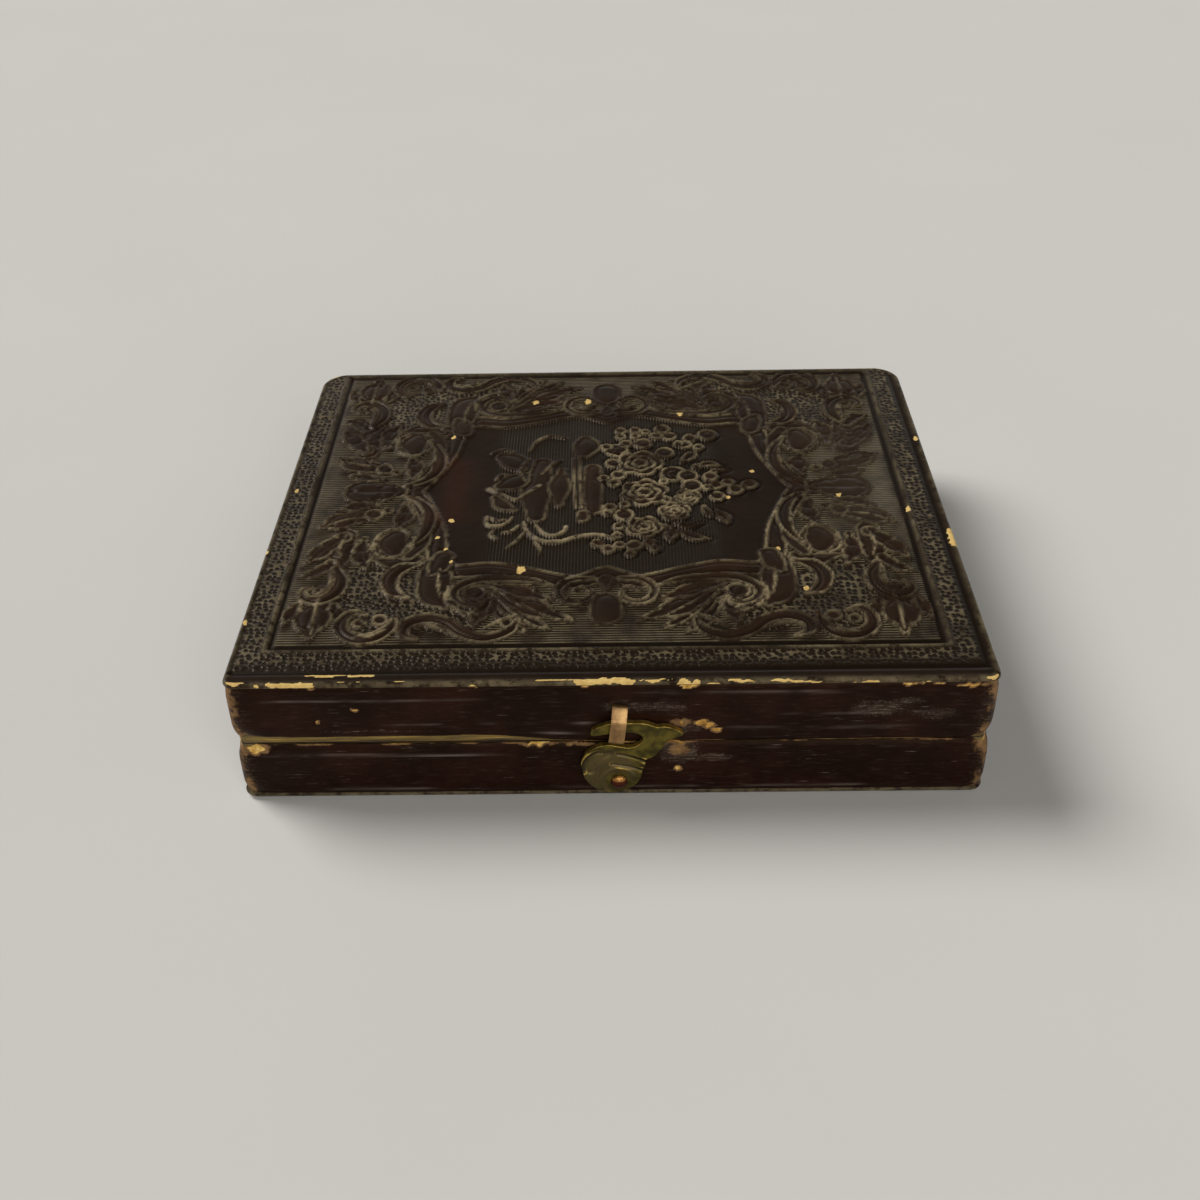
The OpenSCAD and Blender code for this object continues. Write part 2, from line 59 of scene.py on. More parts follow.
# Sizes that the nodes' boxes don't give: room for the relief above the ground, the relief's own depth,
# radii of the front corners and of the covers' rolled edges, thicknesses of the leathers and of the sheet
# brass, the stamp's centre, and half sizes of the mat's opening
RELIEF = 0.25
STAMP_DEPTH = 0.38
FRONT_CORNER_R = 1.6
COVER_EDGE_R = 0.45
BAND_T, SPINE_T, INNER_HINGE_T = 0.55, 0.42, 0.2
PRESERVER_T, MAT_T = 0.09, 0.2
STAMP_AT = (-0.5, 3.3)
OVAL_X, OVAL_Y = 31, 25


def box_mm(node):
    """Lowest and highest corner of a node, in millimetres."""
    low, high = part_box(node)
    return np.array(low) / MM, np.array(high) / MM


CASE_HALF_W, CASE_HALF_D = box_mm("lid_top_leather")[1][:2]
LID_Z = box_mm("lid_edge_leather")[0][2]
END_Y, BASE_H = box_mm("base_edge_leather")[1][1:]
BACK_CORNER_R = CASE_HALF_D - END_Y
HINGE_Z = (BASE_H + LID_Z) / 2
HOOK_PIN = sum(box_mm("hook_pin"))[[0, 2]] / 2


def camera():
    """The photograph's camera, fitted to the corners of the case."""
    data = bpy.data.cameras.new("camera")
    data.sensor_width = 36
    data.lens = 42.764
    data.clip_start = 0.01
    obj = bpy.data.objects.new("camera", data)
    obj.location = (0.0013014, -0.1739558, 0.1289648)
    obj.rotation_euler = [math.radians(a) for a in (53.7582, 0.9871, 0.2849)]
    scene.collection.objects.link(obj)
    scene.camera = obj


camera()


# Numbers on a surface

def smooth(value, low, high):
    """0 below low, 1 above high, and a soft step between."""
    t = np.clip((value - low) / (high - low), 0, 1)
    return t * t * (3 - 2 * t)


def bump(value, centre, width):
    """1 at the centre, falling off softly over about width to both sides."""
    return np.exp(-(((value - centre) / width) ** 2))


def spot(x, y, middle_x, middle_y, reach_x, reach_y):
    """1 at the middle, falling off softly over these reaches across and up."""
    return bump(np.hypot((x - middle_x) / reach_x, (y - middle_y) / reach_y), 0, 1)


def noise(x, y, size, seed):
    """Soft noise from 0 to 1 with blots about size across, in three octaves."""
    total = 0
    for octave, weight in enumerate((0.55, 0.3, 0.15)):
        table = np.random.default_rng(seed * 7 + octave).random((128, 128))
        gx, gy = x / size * 2**octave, y / size * 2**octave
        ix, iy = np.floor(gx).astype(int), np.floor(gy).astype(int)
        fx, fy = gx - ix, gy - iy
        fx, fy = fx * fx * (3 - 2 * fx), fy * fy * (3 - 2 * fy)
        a, b = table[ix % 128, iy % 128], table[(ix + 1) % 128, iy % 128]
        c, d = table[ix % 128, (iy + 1) % 128], table[(ix + 1) % 128, (iy + 1) % 128]
        total = total + weight * ((a + (b - a) * fx) * (1 - fy) + (c + (d - c) * fx) * fy)
    return total


def through(points, widths, steps=8):
    """A smooth open curve through points: its own points, half widths and share of the way along."""
    p = np.array(points, float)
    p = np.vstack([2 * p[0] - p[1], p, 2 * p[-1] - p[-2]])
    t = (np.arange(steps) / steps)[:, None]
    runs = []
    for a, b, c, d in zip(p, p[1:], p[2:], p[3:]):
        runs.append(0.5 * (2 * b + (c - a) * t + (2 * a - 5 * b + 4 * c - d) * t**2
                           + (3 * b - a - 3 * c + d) * t**3))
    line = np.vstack([*runs, p[-2]])
    run = np.concatenate([[0], np.cumsum(np.hypot(*np.diff(line, axis=0).T))])
    along = run / run[-1]
    knot = along * (len(widths) - 1)
    at = np.clip(knot.astype(int), 0, max(len(widths) - 2, 0))
    w = np.array([*widths, widths[-1]], float)
    half = (w[at] + (w[at + 1] - w[at]) * smooth(knot - at, 0, 1)) / 2
    return line, half, along


def measure(where, points, widths):
    """How deep each place lies inside a band, how far along it, and how far across, -1 to 1."""
    line, half, along = through(points, widths)
    depth = np.full(len(where), -9.0)
    share = np.zeros(len(where))
    across = np.zeros(len(where))
    # Only the places round the band are measured
    reach = half.max() + 0.8
    near = np.all((where > line.min(0) - reach) & (where < line.max(0) + reach), axis=1)
    q = where[near]
    best, at, side = np.full(len(q), -9.0), np.zeros(len(q)), np.zeros(len(q))
    for a, b, ha, hb, sa, sb in zip(line, line[1:], half, half[1:], along, along[1:]):
        ab = b - a
        t = np.clip((q - a) @ ab / max(ab @ ab, 1e-9), 0, 1)
        off = q - a - t[:, None] * ab
        dist = np.hypot(off[:, 0], off[:, 1])
        h = ha + t * (hb - ha)
        better = h - dist > best
        best = np.where(better, h - dist, best)
        at = np.where(better, sa + t * (sb - sa), at)
        turn = np.sign(ab[0] * off[:, 1] - ab[1] * off[:, 0])
        side = np.where(better, turn * dist / np.maximum(h, 0.05), side)
    depth[near], share[near], across[near] = best, at, side
    return depth, share, across


# The stamped pattern, in millimetres from its own centre. Each band is its points and its widths.
# The border ornament repeats in all four quarters; x runs to the end, y to the front or the spine.
MOULDING = [(0, 21.2), (4.5, 23.2), (10.5, 21.4), (15.5, 20), (20.5, 20.4), (22.8, 17.5), (24, 10.5),
            (26.5, 3.6), (28.3, 0)]
MASSES = [
    ([(23.6, 18.6), (22.9, 22), (22.6, 25.5), (21, 28.8)], (3, 5, 5, 1.2)),
    ([(22.2, 17.2), (22.6, 19.2), (23.4, 21)], (3.2, 3.4, 1.5)),
    ([(25.6, 17.4), (28.6, 18.4), (31.8, 17.4)], (1.8, 2.8, 1)),
    ([(27, 16.8), (25.5, 14), (24.8, 10)], (2, 2.2, 1.2)),
    ([(36.4, 11.2), (36.6, 15), (36, 18.6)], (3.6, 4.4, 2.2)),
    ([(29.2, 11.8), (29.6, 13.6), (29.3, 15.4)], (3.4, 4.6, 3.4)),
]
LEAVES = [
    ([(28.9, 3.4), (28.6, 6.4), (29.4, 9.8)], (1.2, 3.2, 1.2)),
    ([(14.2, 28.6), (12.6, 31.4), (10.4, 34.2)], (2, 3, 1)),
    ([(14.4, 26.4), (11, 30.4), (7.4, 33.4)], (2, 3.6, 1)),
    ([(14.8, 24.6), (10.4, 28.4), (4.4, 31.6)], (2, 4.2, 1.2)),
    ([(15.2, 23.8), (11.5, 25.2), (7.6, 27)], (1.6, 3.2, 1.6)),
    ([(15.4, 27.4), (16.4, 30.2), (17, 33)], (1.4, 2.8, 0.8)),
    ([(30.6, 0), (34.5, 0), (38.7, 0)], (3.6, 6.8, 0.3)),
    ([(33, 3.6), (35.6, 3.9), (38.6, 4.9)], (1.2, 2.6, 0.3)),
    ([(33.2, 6.8), (36.4, 7.2), (41, 9.8)], (2.6, 4.4, 0.4)),
    ([(33.6, 12.6), (33.6, 16.4), (32.2, 20.2)], (1.6, 3.2, 0.6)),
    ([(36.6, 12), (38.8, 14.8), (41.2, 18.8)], (2.8, 3.4, 0.4)),
    ([(37.4, 18.4), (39.2, 20.6), (41.4, 21.4)], (2.2, 2.4, 0.3)),
    ([(36.8, 27.4), (35, 29.6), (33.9, 32)], (2.6, 2.8, 0.6)),
    ([(39, 27), (40.6, 29.2), (41.7, 32)], (2.6, 2.8, 0.6)),
    ([(37.7, 24.6), (37.9, 29), (37.6, 35.8)], (2.6, 5.4, 0.8)),
]
SCROLLS = [
    ([(0.6, 22.7), (2.8, 22.5), (5, 23), (6.3, 24.8), (5.8, 27), (4, 27.9), (2.3, 27), (2.1, 25.4),
      (3.2, 24.4), (4.3, 25.2)], (0.7, 1.3, 1.5, 1.5, 1.4, 1.2, 0.9, 0.6)),
    ([(6.8, 24.2), (8.4, 23.4), (10.5, 22.7), (14.5, 22.3), (17.8, 22.8), (19.8, 24.4), (20, 26.4),
      (18.6, 28), (16.6, 28.2), (15.7, 26.8)], (0.6, 1.3, 1.6, 1.7, 1.7, 1.6, 1.3, 0.8)),
    ([(25.3, 18.8), (27.8, 19.8), (28.9, 22.2), (28.3, 24.9), (26.2, 26.4)], (1, 2.4, 2.8, 2.4, 0.8)),
    ([(11.2, 31), (12.4, 33.8), (15.4, 35.2), (18.4, 34), (20.6, 31.8), (23.2, 31), (25.6, 32.2),
      (25.7, 34.3), (24, 35.3)], (0.8, 1.8, 2.1, 2.2, 2.2, 2.4, 2.1, 0.9)),
    ([(27.2, 30.4), (27.7, 33), (29.4, 34.9), (31.8, 35.1), (33.7, 33.4), (33.8, 31), (32.6, 29.6),
      (31.1, 30.1)], (0.9, 2, 2.4, 2.4, 2.2, 1.8, 0.9)),
    ([(29.6, 1.4), (27.2, 2.6), (25.6, 4.8), (25, 7.4), (25.2, 10.2), (26, 12.6), (27.2, 14.6)],
     (0.6, 1.5, 2.1, 2.4, 2.1, 1.5, 0.7)),
    ([(36.4, 19.6), (35.4, 22.4), (35.8, 25), (37.3, 26.6), (39.4, 26.4), (40.2, 24.8), (39.2, 23.9)],
     (1.6, 2.4, 2.6, 2.3, 1.7, 0.9)),
]
KNOBS = [(17.3, 25.5, 1.7), (29.1, 31.2, 1.2), (31.7, 31.9, 1), (33.1, 6.2, 1.4),
         (31.2, 5.3, 0.9), (38, 24.6, 0.8)]
DROPS = [([(0, 26), (0, 28.2), (0, 30.4)], (1.4, 4.4, 4.6)), ([(0, 22.8), (0, 24.6)], (2.2, 1.2))]
# Thin raised lines that the years have rubbed pale
RIDGES = [
    ([(20.9, 24), (21, 27), (19, 29.4), (16.6, 30.2)], (0.3, 0.6, 0.5, 0.2)),
    ([(11.5, 30.4), (13.6, 31.6), (15.6, 33.2)], (0.3, 0.7, 0.3)),
    ([(20.8, 33.4), (23, 32.4), (24.6, 33)], (0.3, 0.7, 0.3)),
    ([(37.1, 20.5), (36.9, 23.4), (37.9, 25.2)], (0.3, 0.5, 0.3)),
    ([(26.8, 12.2), (28.2, 10.4), (30.2, 10.2), (31.9, 12), (32, 15.4), (30.4, 17)],
     (0.3, 0.6, 0.6, 0.5, 0.3)),
    ([(28.2, 33.4), (29.8, 34.6), (31.8, 34.5)], (0.3, 0.6, 0.3)),
    ([(15, 24.4), (12, 27.4), (8, 30.6)], (0.2, 0.4, 0.2)),
    ([(14.6, 26.2), (12, 30), (9.4, 32.6)], (0.2, 0.4, 0.2)),
    ([(37.7, 26), (37.8, 30), (37.6, 34)], (0.2, 0.45, 0.2)),
    ([(34, 7), (36.6, 7.4), (39.4, 8.8)], (0.2, 0.4, 0.2)),
    ([(36.2, 11), (36.8, 14.4), (36.2, 17.6)], (0.2, 0.4, 0.2)),
    ([(22.4, 20), (22.4, 23), (21.8, 26.4)], (0.2, 0.45, 0.2)),
]
# The centre doesn't repeat: roses with their petals, single blossoms and berries, leaves, and the vase
ROSES = [(5, 7.2, 3.7, 5), (5.5, -1, 3.7, 6), (5.3, -10.1, 2.8, 5), (9.7, -6.1, 2.5, 5),
         (11.7, -2.3, 2.1, 4)]
BLOSSOMS = [
    (1.5, 11.2, 1.9), (0, 12, 1), (1, 7.2, 1.3), (1.8, 3.9, 1.2), (-0.4, 2.9, 0.9), (1.1, 1.7, 1),
    (3, 13, 1.1), (5.6, 13, 1.5), (8.8, 10.2, 1.5), (7.6, 15.4, 1.1), (8.6, 17.4, 1.3), (9.6, 15.1, 1.2),
    (12.8, 14.5, 1.2), (15.5, 15.5, 1.6), (12, 12.6, 1.1), (14, 11.8, 0.9), (9.9, 4.2, 2.1), (12, 3.4, 1.6),
    (12.5, 0.7, 1.6), (15.3, 3.2, 1.2), (16.1, 0.8, 1.1), (14.7, 0.2, 0.8), (17.8, 1.5, 1), (18.8, -0.5, 1.2),
    (20.9, 0.9, 1.2), (16, -2.3, 1.2), (2.5, -6.9, 1.5), (0.5, -4.9, 1), (0.1, -6.4, 0.8), (1.7, -9.9, 0.9),
    (1.5, -12.1, 0.8), (-1.2, -14.1, 1), (0.3, -15.5, 1), (1.8, -14.6, 0.9), (3.9, -14.7, 1.2), (6, -14.1, 1),
    (6.7, -15.6, 0.8), (3.3, -16.6, 0.8), (2.2, 15.2, 0.9), (4.4, 15.4, 0.9), (2.2, 17, 1), (4.4, 17.2, 1),
    (6, 16.6, 0.8), (8.4, 1.9, 0.8), (8.6, -2.9, 0.9), (2.9, 9.9, 0.8), (13.4, 6, 0.8), (10.9, 12.9, 0.8),
    (2.6, -4.2, 0.9),
]
SPRIGS = [
    ([(11.3, 7.5), (12.4, 9), (13.8, 10.8)], (0.8, 2.2, 0.3)),
    ([(13.4, 6.2), (15, 6.9), (17.2, 6.1)], (0.6, 1.7, 0.2)),
    ([(13.9, -4.9), (14.3, -6.3), (15, -7.6)], (0.8, 1.5, 0.5)),
    ([(15.7, -6.2), (16.6, -7.7), (17.2, -9.2)], (0.8, 2, 0.5)),
    ([(8.3, -9.4), (8.9, -11.6), (9, -14.1)], (0.6, 2.4, 0.3)),
    ([(10, -11), (12, -12.6), (14.4, -13.2)], (0.5, 2, 0.3)),
    ([(9.6, -9.2), (11.4, -9.8), (13.6, -9.2)], (0.5, 1.4, 0.2)),
    ([(14.5, 2), (16, 4.8), (18, 5)], (0.4, 1.3, 0.2)),
]
VASE = [
    ([(-10, -7.2), (-10.2, 0), (-9.6, 7.4)], (3, 5, 3)),
    ([(-6.8, -4), (-6.9, 0.6), (-6.7, 5.4)], (1.6, 3.6, 1.4)),
    ([(-1.9, -5.4), (-2, 0), (-2, 5.6)], (2.8, 3.2, 2.8)),
    ([(-3.4, 10.4), (-3, 12.6), (-3.2, 14.2)], (3, 4.4, 2.6)),
    ([(-3.3, -6.6), (-3.3, -7.2), (-3.3, -7.8)], (2, 2, 2)),
    ([(-15.4, 1), (-13.6, 2.2), (-12.2, 4)], (2.4, 4.2, 2.2)),
    ([(-15.6, 9.6), (-14.2, 8.4), (-12.8, 6)], (2.4, 4.2, 2)),
    ([(-16, -2), (-15, -4), (-13.2, -5.4)], (1.6, 2.6, 1)),
]
VASE_RIDGES = [
    ([(-4, 8.8), (-3.9, 2), (-3.6, -5)], (0.4, 0.4, 0.4)),
    ([(-4.9, 8.8), (-4.8, 2), (-4.4, -5)], (0.4, 0.4, 0.4)),
    ([(-17.2, 0.4), (-15.2, -1.1), (-13.2, -2.6), (-12, -1.4), (-10.6, 0.1), (-9.8, 1)], (0.7, 0.5, 0.6)),
    ([(-16.3, 3), (-15.5, 4.3), (-14.3, 4.1)], (0.4, 0.5, 0.2)),
    ([(-11.7, 8.9), (-12.6, 6.4), (-12.8, 4.6), (-12, 2.4)], (0.3, 0.5, 0.3)),
    ([(-17, -7.1), (-16.8, -9.1), (-15.3, -9.6), (-14, -8.6), (-13.4, -7.2)], (0.4, 0.6, 0.3)),
    ([(-16.5, -7.3), (-15.5, -8.2), (-14.4, -7.9)], (0.3, 0.5, 0.3)),
    ([(-15.9, -10.6), (-16.1, -11.8), (-15.2, -12.9)], (0.3, 0.5, 0.3)),
    ([(-14.5, -11.2), (-13.3, -10.9), (-12.4, -9.4)], (0.3, 0.5, 0.3)),
    ([(-11.7, -8.6), (-11, -11.3), (-9, -13.3), (-6.5, -13.6), (-4.5, -12.6), (-2.5, -12), (-0.5, -12.1),
      (1, -13)], (0.4, 0.7, 0.6, 0.5)),
    ([(-10, -9.3), (-8.8, -11.5), (-7.3, -12.1), (-6, -11.1), (-5.7, -9.9)], (0.3, 0.6, 0.5)),
    ([(-11.5, -11.3), (-12.5, -13.3), (-13.7, -15)], (0.4, 0.4, 0.2)),
    ([(-9.9, -13.6), (-9.2, -15), (-9, -16.6)], (0.4, 0.4, 0.2)),
    ([(-11.7, 11.3), (-10.5, 14.3), (-8.5, 15.6), (-6.2, 14.8)], (0.3, 0.6, 0.3)),
    ([(-17.4, 10.6), (-15.8, 11.6), (-14, 10.9)], (0.4, 0.6, 0.3)),
    ([(-9.6, 4.2), (-8.4, 6.6), (-6.9, 8.4)], (0.3, 0.4, 0.3)),
]
# Where the ground is pebbled and not ruled: centre and radius
PEBBLED = [(28, 27.5, 6.9), (33.4, 23.5, 4.4), (20.5, 30, 4.6), (32.6, 14.6, 3), (30.5, 21, 3.4)]
# The panel inside the moulding: half widths at these heights, and half heights at these widths
PANEL_WIDE = ([0, 3.6, 10.5, 17.5, 20.9], [28.3, 26.5, 24, 22.8, 20.5])
PANEL_HIGH = ([0, 4.5, 10.5, 15.5, 20.5, 23], [21.2, 23.6, 21.6, 20.2, 20.9, 17])
HATCHED_X = 16
# Reach of the ruled frame and of the pebbled band round it, to the ends, the front and the back. At the
# back the band runs on to the spine.
FRAME_X, FRAME_FRONT, FRAME_BACK = 42.4, 36.9, 36.0
BAND_X, BAND_FRONT, BAND_BACK = 46.3, 41.3, 60


class Stamp:
    """What the stamp leaves at each place: height in units of the relief, and masks for the finish."""

    def __init__(self, x, y):
        self.at = np.stack([x - STAMP_AT[0], y - STAMP_AT[1]], axis=1)
        self.fold = np.abs(self.at)
        self.height = np.zeros(len(x))
        self.form = np.zeros(len(x))
        self.rub = np.zeros(len(x))

    def raised(self, depth, level=0.5, rim=0.5, cut=0):
        """Lays one form over what is there: a rubbed rim, a slightly hollow face and a groove round it."""
        inside = smooth(depth, -0.15, 0.1)
        edge = bump(depth, 0.2, 0.22)
        own = level + rim * edge - 0.22 * bump(depth, 0.62, 0.28) + 0.2 * smooth(depth, 0.7, 1.8) - cut
        self.height = self.height * (1 - inside) + own * inside - 0.35 * bump(depth, -0.32, 0.2)
        self.form = self.form * (1 - inside) + inside
        self.rub = self.rub * (1 - inside) + inside * edge * rim * 2

    def bands(self, bands, where, rim=0.5, ribbed=0):
        """Bands, the ribbed ones with a line raised and a line sunk along them."""
        for points, widths in bands:
            depth, _, across = measure(where, points, widths)
            rib = ribbed * (bump(across, 0.3, 0.17) - 0.5 * bump(across, -0.15, 0.2))
            self.raised(depth, rim=rim, cut=rib * smooth(depth, 0.2, 0.45))

    def ridges(self, ridges, where):
        """Thin lines that stand above the rest and are rubbed pale all along."""
        for points, widths in ridges:
            crest = smooth(measure(where, points, widths)[0], -0.15, 0.12)
            self.height = np.maximum(self.height, crest)
            self.rub = np.maximum(self.rub, crest)
            self.form = np.maximum(self.form, crest)

    def leaves(self, leaves, where):
        for points, widths in leaves:
            depth, share, across = measure(where, points, widths)
            lobes = np.abs(np.sin((share * 3.2 - np.abs(across) * 0.45) * math.pi))
            veins = 0.45 * bump(across, 0, 0.16) + 0.3 * bump(lobes, 0, 0.3) * smooth(np.abs(across), 0, 0.4)
            depth = depth - 0.13 * max(widths) * (1 - lobes) ** 2 * (max(widths) > 2)
            self.raised(depth, rim=0.42, cut=veins * (depth > 0))

    def flower(self, x, y, r, petals, turn):
        off = self.at - (x, y)
        angle = np.arctan2(off[:, 1], off[:, 0]) + turn
        dist = np.hypot(off[:, 0], off[:, 1])
        for share, swirl in ((1, 0), (0.66, 0.7), (0.36, 1.5)):
            lobes = np.abs(np.cos(petals / 2 * angle + swirl))
            self.raised(r * share * (0.8 + 0.2 * lobes) - dist, level=0.45, rim=0.55)

    def knob(self, where, x, y, r):
        """A round end; a larger one carries the groove of its spiral."""
        off = where - (x, y)
        dist = np.hypot(off[:, 0], off[:, 1])
        turn = (dist / r * 1.9 - np.arctan2(off[:, 1], off[:, 0]) / (2 * math.pi)) % 1
        groove = 0.5 * bump(turn, 0.5, 0.16) * (dist < r) if r > 1.65 else 0
        self.raised(r - dist, level=0.45, rim=0.55, cut=groove)


def stamp(x, y):
    """The whole cover at these places."""
    s = Stamp(x, y)
    fx, fy = s.fold[:, 0], s.fold[:, 1]
    from_middle = np.abs(s.at[:, 0])
    front = s.at[:, 1] < 0
    depth, _, across = measure(s.fold, MOULDING, (3.2,))
    inside = (fx < np.interp(fy, *PANEL_WIDE)) & (fy < np.interp(fx, *PANEL_HIGH))
    step = 0.7 * bump(across, 0.52, 0.13) + 0.16 * np.clip(np.sin(across * 11), 0, 1)
    s.raised(depth, level=0.45, rim=0.55, cut=step * (depth > 0.25))
    s.bands(MASSES, s.fold, rim=0.35)
    s.leaves(LEAVES, s.fold)
    s.bands(SCROLLS, s.fold, ribbed=0.5)
    for knob in KNOBS:
        s.knob(s.fold, *knob)
    s.bands(DROPS, s.fold, rim=0.22)
    s.ridges(RIDGES, s.fold)
    s.bands(VASE, s.at, rim=0.35)
    s.ridges(VASE_RIDGES, s.at)
    s.leaves(SPRIGS, s.at)
    for blossom in BLOSSOMS:
        s.knob(s.at, *blossom)
    for i, rose in enumerate(ROSES):
        s.flower(*rose, i * 0.7)
    to_frame = np.minimum(FRAME_X - fx, np.where(front, FRAME_FRONT, FRAME_BACK) - fy)
    to_band = np.minimum(BAND_X - fx, np.where(front, BAND_FRONT, BAND_BACK) - fy)
    field = smooth(to_frame, 0.3, 0.5)
    s.height *= field
    s.form *= field
    s.rub *= field
    s.height += 0.75 * bump(to_frame, -0.55, 0.28) - 0.8 * bump(to_frame, 0.1, 0.32)
    s.rub += 0.8 * bump(to_frame, -0.55, 0.28)
    s.height -= 0.6 * bump(to_band, -0.35, 0.35) * (to_frame < 0)
    s.form += smooth(-to_band, 0, 0.4) + 0.7 * bump(to_frame, 0.1, 0.3)
    ground = (1 - np.clip(s.form, 0, 1))
    patch = 0
    for px, py, r in PEBBLED:
        patch = np.maximum(patch, smooth(r - np.hypot(fx - px, fy - py), 0, 0.6))
    patch = patch * ~inside
    band = smooth(-to_frame, 0.8, 1.0) * smooth(to_band, 0.1, 0.4)
    s.pebble = ground * np.maximum(patch * field, band)
    s.rule = ground * field * (1 - patch) * ~inside
    s.hatch = ground * field * inside * smooth(HATCHED_X - from_middle, -1, 1)
    s.form = np.clip(s.form + 0.8 * inside * smooth(from_middle - HATCHED_X, 0, 1.5), 0, 1)
    return s


# Meshes

def primitive(name, operator, **settings):
    """Adds a primitive as a named piece."""
    bpy.ops.object.select_all(action="DESELECT")
    operator(**settings)
    obj = bpy.context.object
    obj.name = name
    obj.data.name = name
    return obj


def points_of(obj):
    flat = np.empty(len(obj.data.vertices) * 3)
    obj.data.vertices.foreach_get("co", flat)
    return flat.reshape(-1, 3) / MM


def place(obj, points):
    """Writes millimetre points back into the mesh."""
    obj.data.vertices.foreach_set("co", (points * MM).ravel())
    obj.data.update()


def paint(obj, **masks):
    """Stores masks from 0 to 1, one value a vertex, for the piece's material."""
    for name, values in masks.items():
        layer = obj.data.attributes.new(name, "FLOAT", "POINT")
        layer.data.foreach_set("value", np.clip(values, 0, 1).astype(np.float32))


def only(obj):
    bpy.ops.object.select_all(action="DESELECT")
    obj.select_set(True)
    bpy.context.view_layer.objects.active = obj


def modify(obj, kind, **settings):
    """Adds a modifier and applies it at once."""
    only(obj)
    mod = obj.modifiers.new(kind, kind)
    for key, value in settings.items():
        setattr(mod, key, value)
    bpy.ops.object.modifier_apply(modifier=mod.name)


@contextmanager
def editing(obj):
    """Edit mode on one piece, with all of it selected."""
    only(obj)
    bpy.ops.object.mode_set(mode="EDIT")
    bpy.ops.mesh.select_all(action="SELECT")
    yield
    bpy.ops.object.mode_set(mode="OBJECT")


def face_out(obj):
    with editing(obj):
        bpy.ops.mesh.normals_make_consistent(inside=False)


def dress(obj, material, body, nodes, sharp=None):
    """Smooths a finished piece, but for edges sharper than so many degrees, gives it its material and its
    body, and hides the nodes that it stands for."""
    face_out(obj)
    if sharp:
        bpy.ops.object.shade_smooth_by_angle(angle=math.radians(sharp))
    else:
        bpy.ops.object.shade_smooth()
    obj.data.materials.append(material)
    if body:
        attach(obj, body)
    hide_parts(*nodes)


def grid(name, columns, rows):
    """A flat grid of quads from -1 to 1 both ways, and its points."""
    obj = primitive(name, bpy.ops.mesh.primitive_grid_add, size=2, x_subdivisions=columns,
                    y_subdivisions=rows)
    return obj, points_of(obj) * MM


def outline(s):
    """Point and outward direction s mm round the case, from the back of the left end past the front."""
    point, out = np.zeros((len(s), 2)), np.zeros((len(s), 2))
    start = 0
    for length, face, at, radius in OUTLINE_LEGS:
        here = (s >= start - 1e-9) & (s <= start + length + 1e-9)
        t = s[here] - start
        turn = math.radians(face) + (t / radius if radius else 0 * t)
        out[here] = np.stack([np.cos(turn), np.sin(turn)], axis=1)
        ahead = np.stack([-np.sin(turn), np.cos(turn)], axis=1)
        point[here] = np.array(at) + (out[here] * radius if radius else ahead * t[:, None])
        start += length
    return point, out


SIDE = END_Y + CASE_HALF_D - FRONT_CORNER_R
FRONT_X, BACK_X = CASE_HALF_W - FRONT_CORNER_R, CASE_HALF_W - BACK_CORNER_R
FRONT_Y = FRONT_CORNER_R - CASE_HALF_D
FRONT_ARC, BACK_ARC = FRONT_CORNER_R * math.pi / 2, BACK_CORNER_R * math.pi / 2
# Legs round the case: length, where the face looks in degrees, its start or its arc's centre, and radius
OUTLINE_LEGS = [
    (SIDE, 180, (-CASE_HALF_W, END_Y), 0), (FRONT_ARC, 180, (-FRONT_X, FRONT_Y), FRONT_CORNER_R),
    (2 * FRONT_X, 270, (-FRONT_X, -CASE_HALF_D), 0), (FRONT_ARC, 270, (FRONT_X, FRONT_Y), FRONT_CORNER_R),
    (SIDE, 0, (CASE_HALF_W, FRONT_Y), 0), (BACK_ARC, 0, (BACK_X, END_Y), BACK_CORNER_R),
    (2 * BACK_X, 90, (BACK_X, CASE_HALF_D), 0), (BACK_ARC, 90, (-BACK_X, END_Y), BACK_CORNER_R),
]
SIDE_RUN = 2 * (SIDE + FRONT_ARC + FRONT_X)
BACK_RUN = 2 * (BACK_ARC + BACK_X)
FRONT_START = SIDE_RUN / 2


def strip(name, start, length, low, high):
    """A band of leather round the case as a grid. Gives the piece and each vertex's run and height."""
    obj, p = grid(name, round(length / SIDE_CELL), round((high - low) / SIDE_CELL))
    return obj, start + (p[:, 0] + 1) / 2 * length, low + (p[:, 1] + 1) / 2 * (high - low)


def wrap(obj, s, z, out):
    """Bends a band round the case, with out mm of unevenness outwards."""
    point, normal = outline(s)
    place(obj, np.column_stack([point + normal * out[:, None], z]))


# Materials

def linear(text):
    """A colour written as sRGB hex, as the shader wants it."""
    parts = [int(text[i:i + 2], 16) / 255 for i in (1, 3, 5)]
    return tuple(c / 12.92 if c <= 0.04045 else ((c + 0.055) / 1.055) ** 2.4 for c in parts) + (1.0,)


def per(mm):
    """Texture scale at which one blot or cell is this many millimetres."""
    return 1 / (mm * MM)


# Spacing of a wave texture's lines at scale 1
WAVE_GAP = 0.314


# Kinds of node that are used with the same setting everywhere, each by what it does
KINDS = {
    "Blend": ("Mix", {"data_type": "RGBA"}),
    "Step": ("MapRange", {"interpolation_type": "SMOOTHSTEP"}),
    "Times": ("Math", {"operation": "MULTIPLY"}),
    "TimesPlus": ("Math", {"operation": "MULTIPLY_ADD"}),
    "Minus": ("Math", {"operation": "SUBTRACT"}),
    "Higher": ("Math", {"operation": "MAXIMUM"}),
}


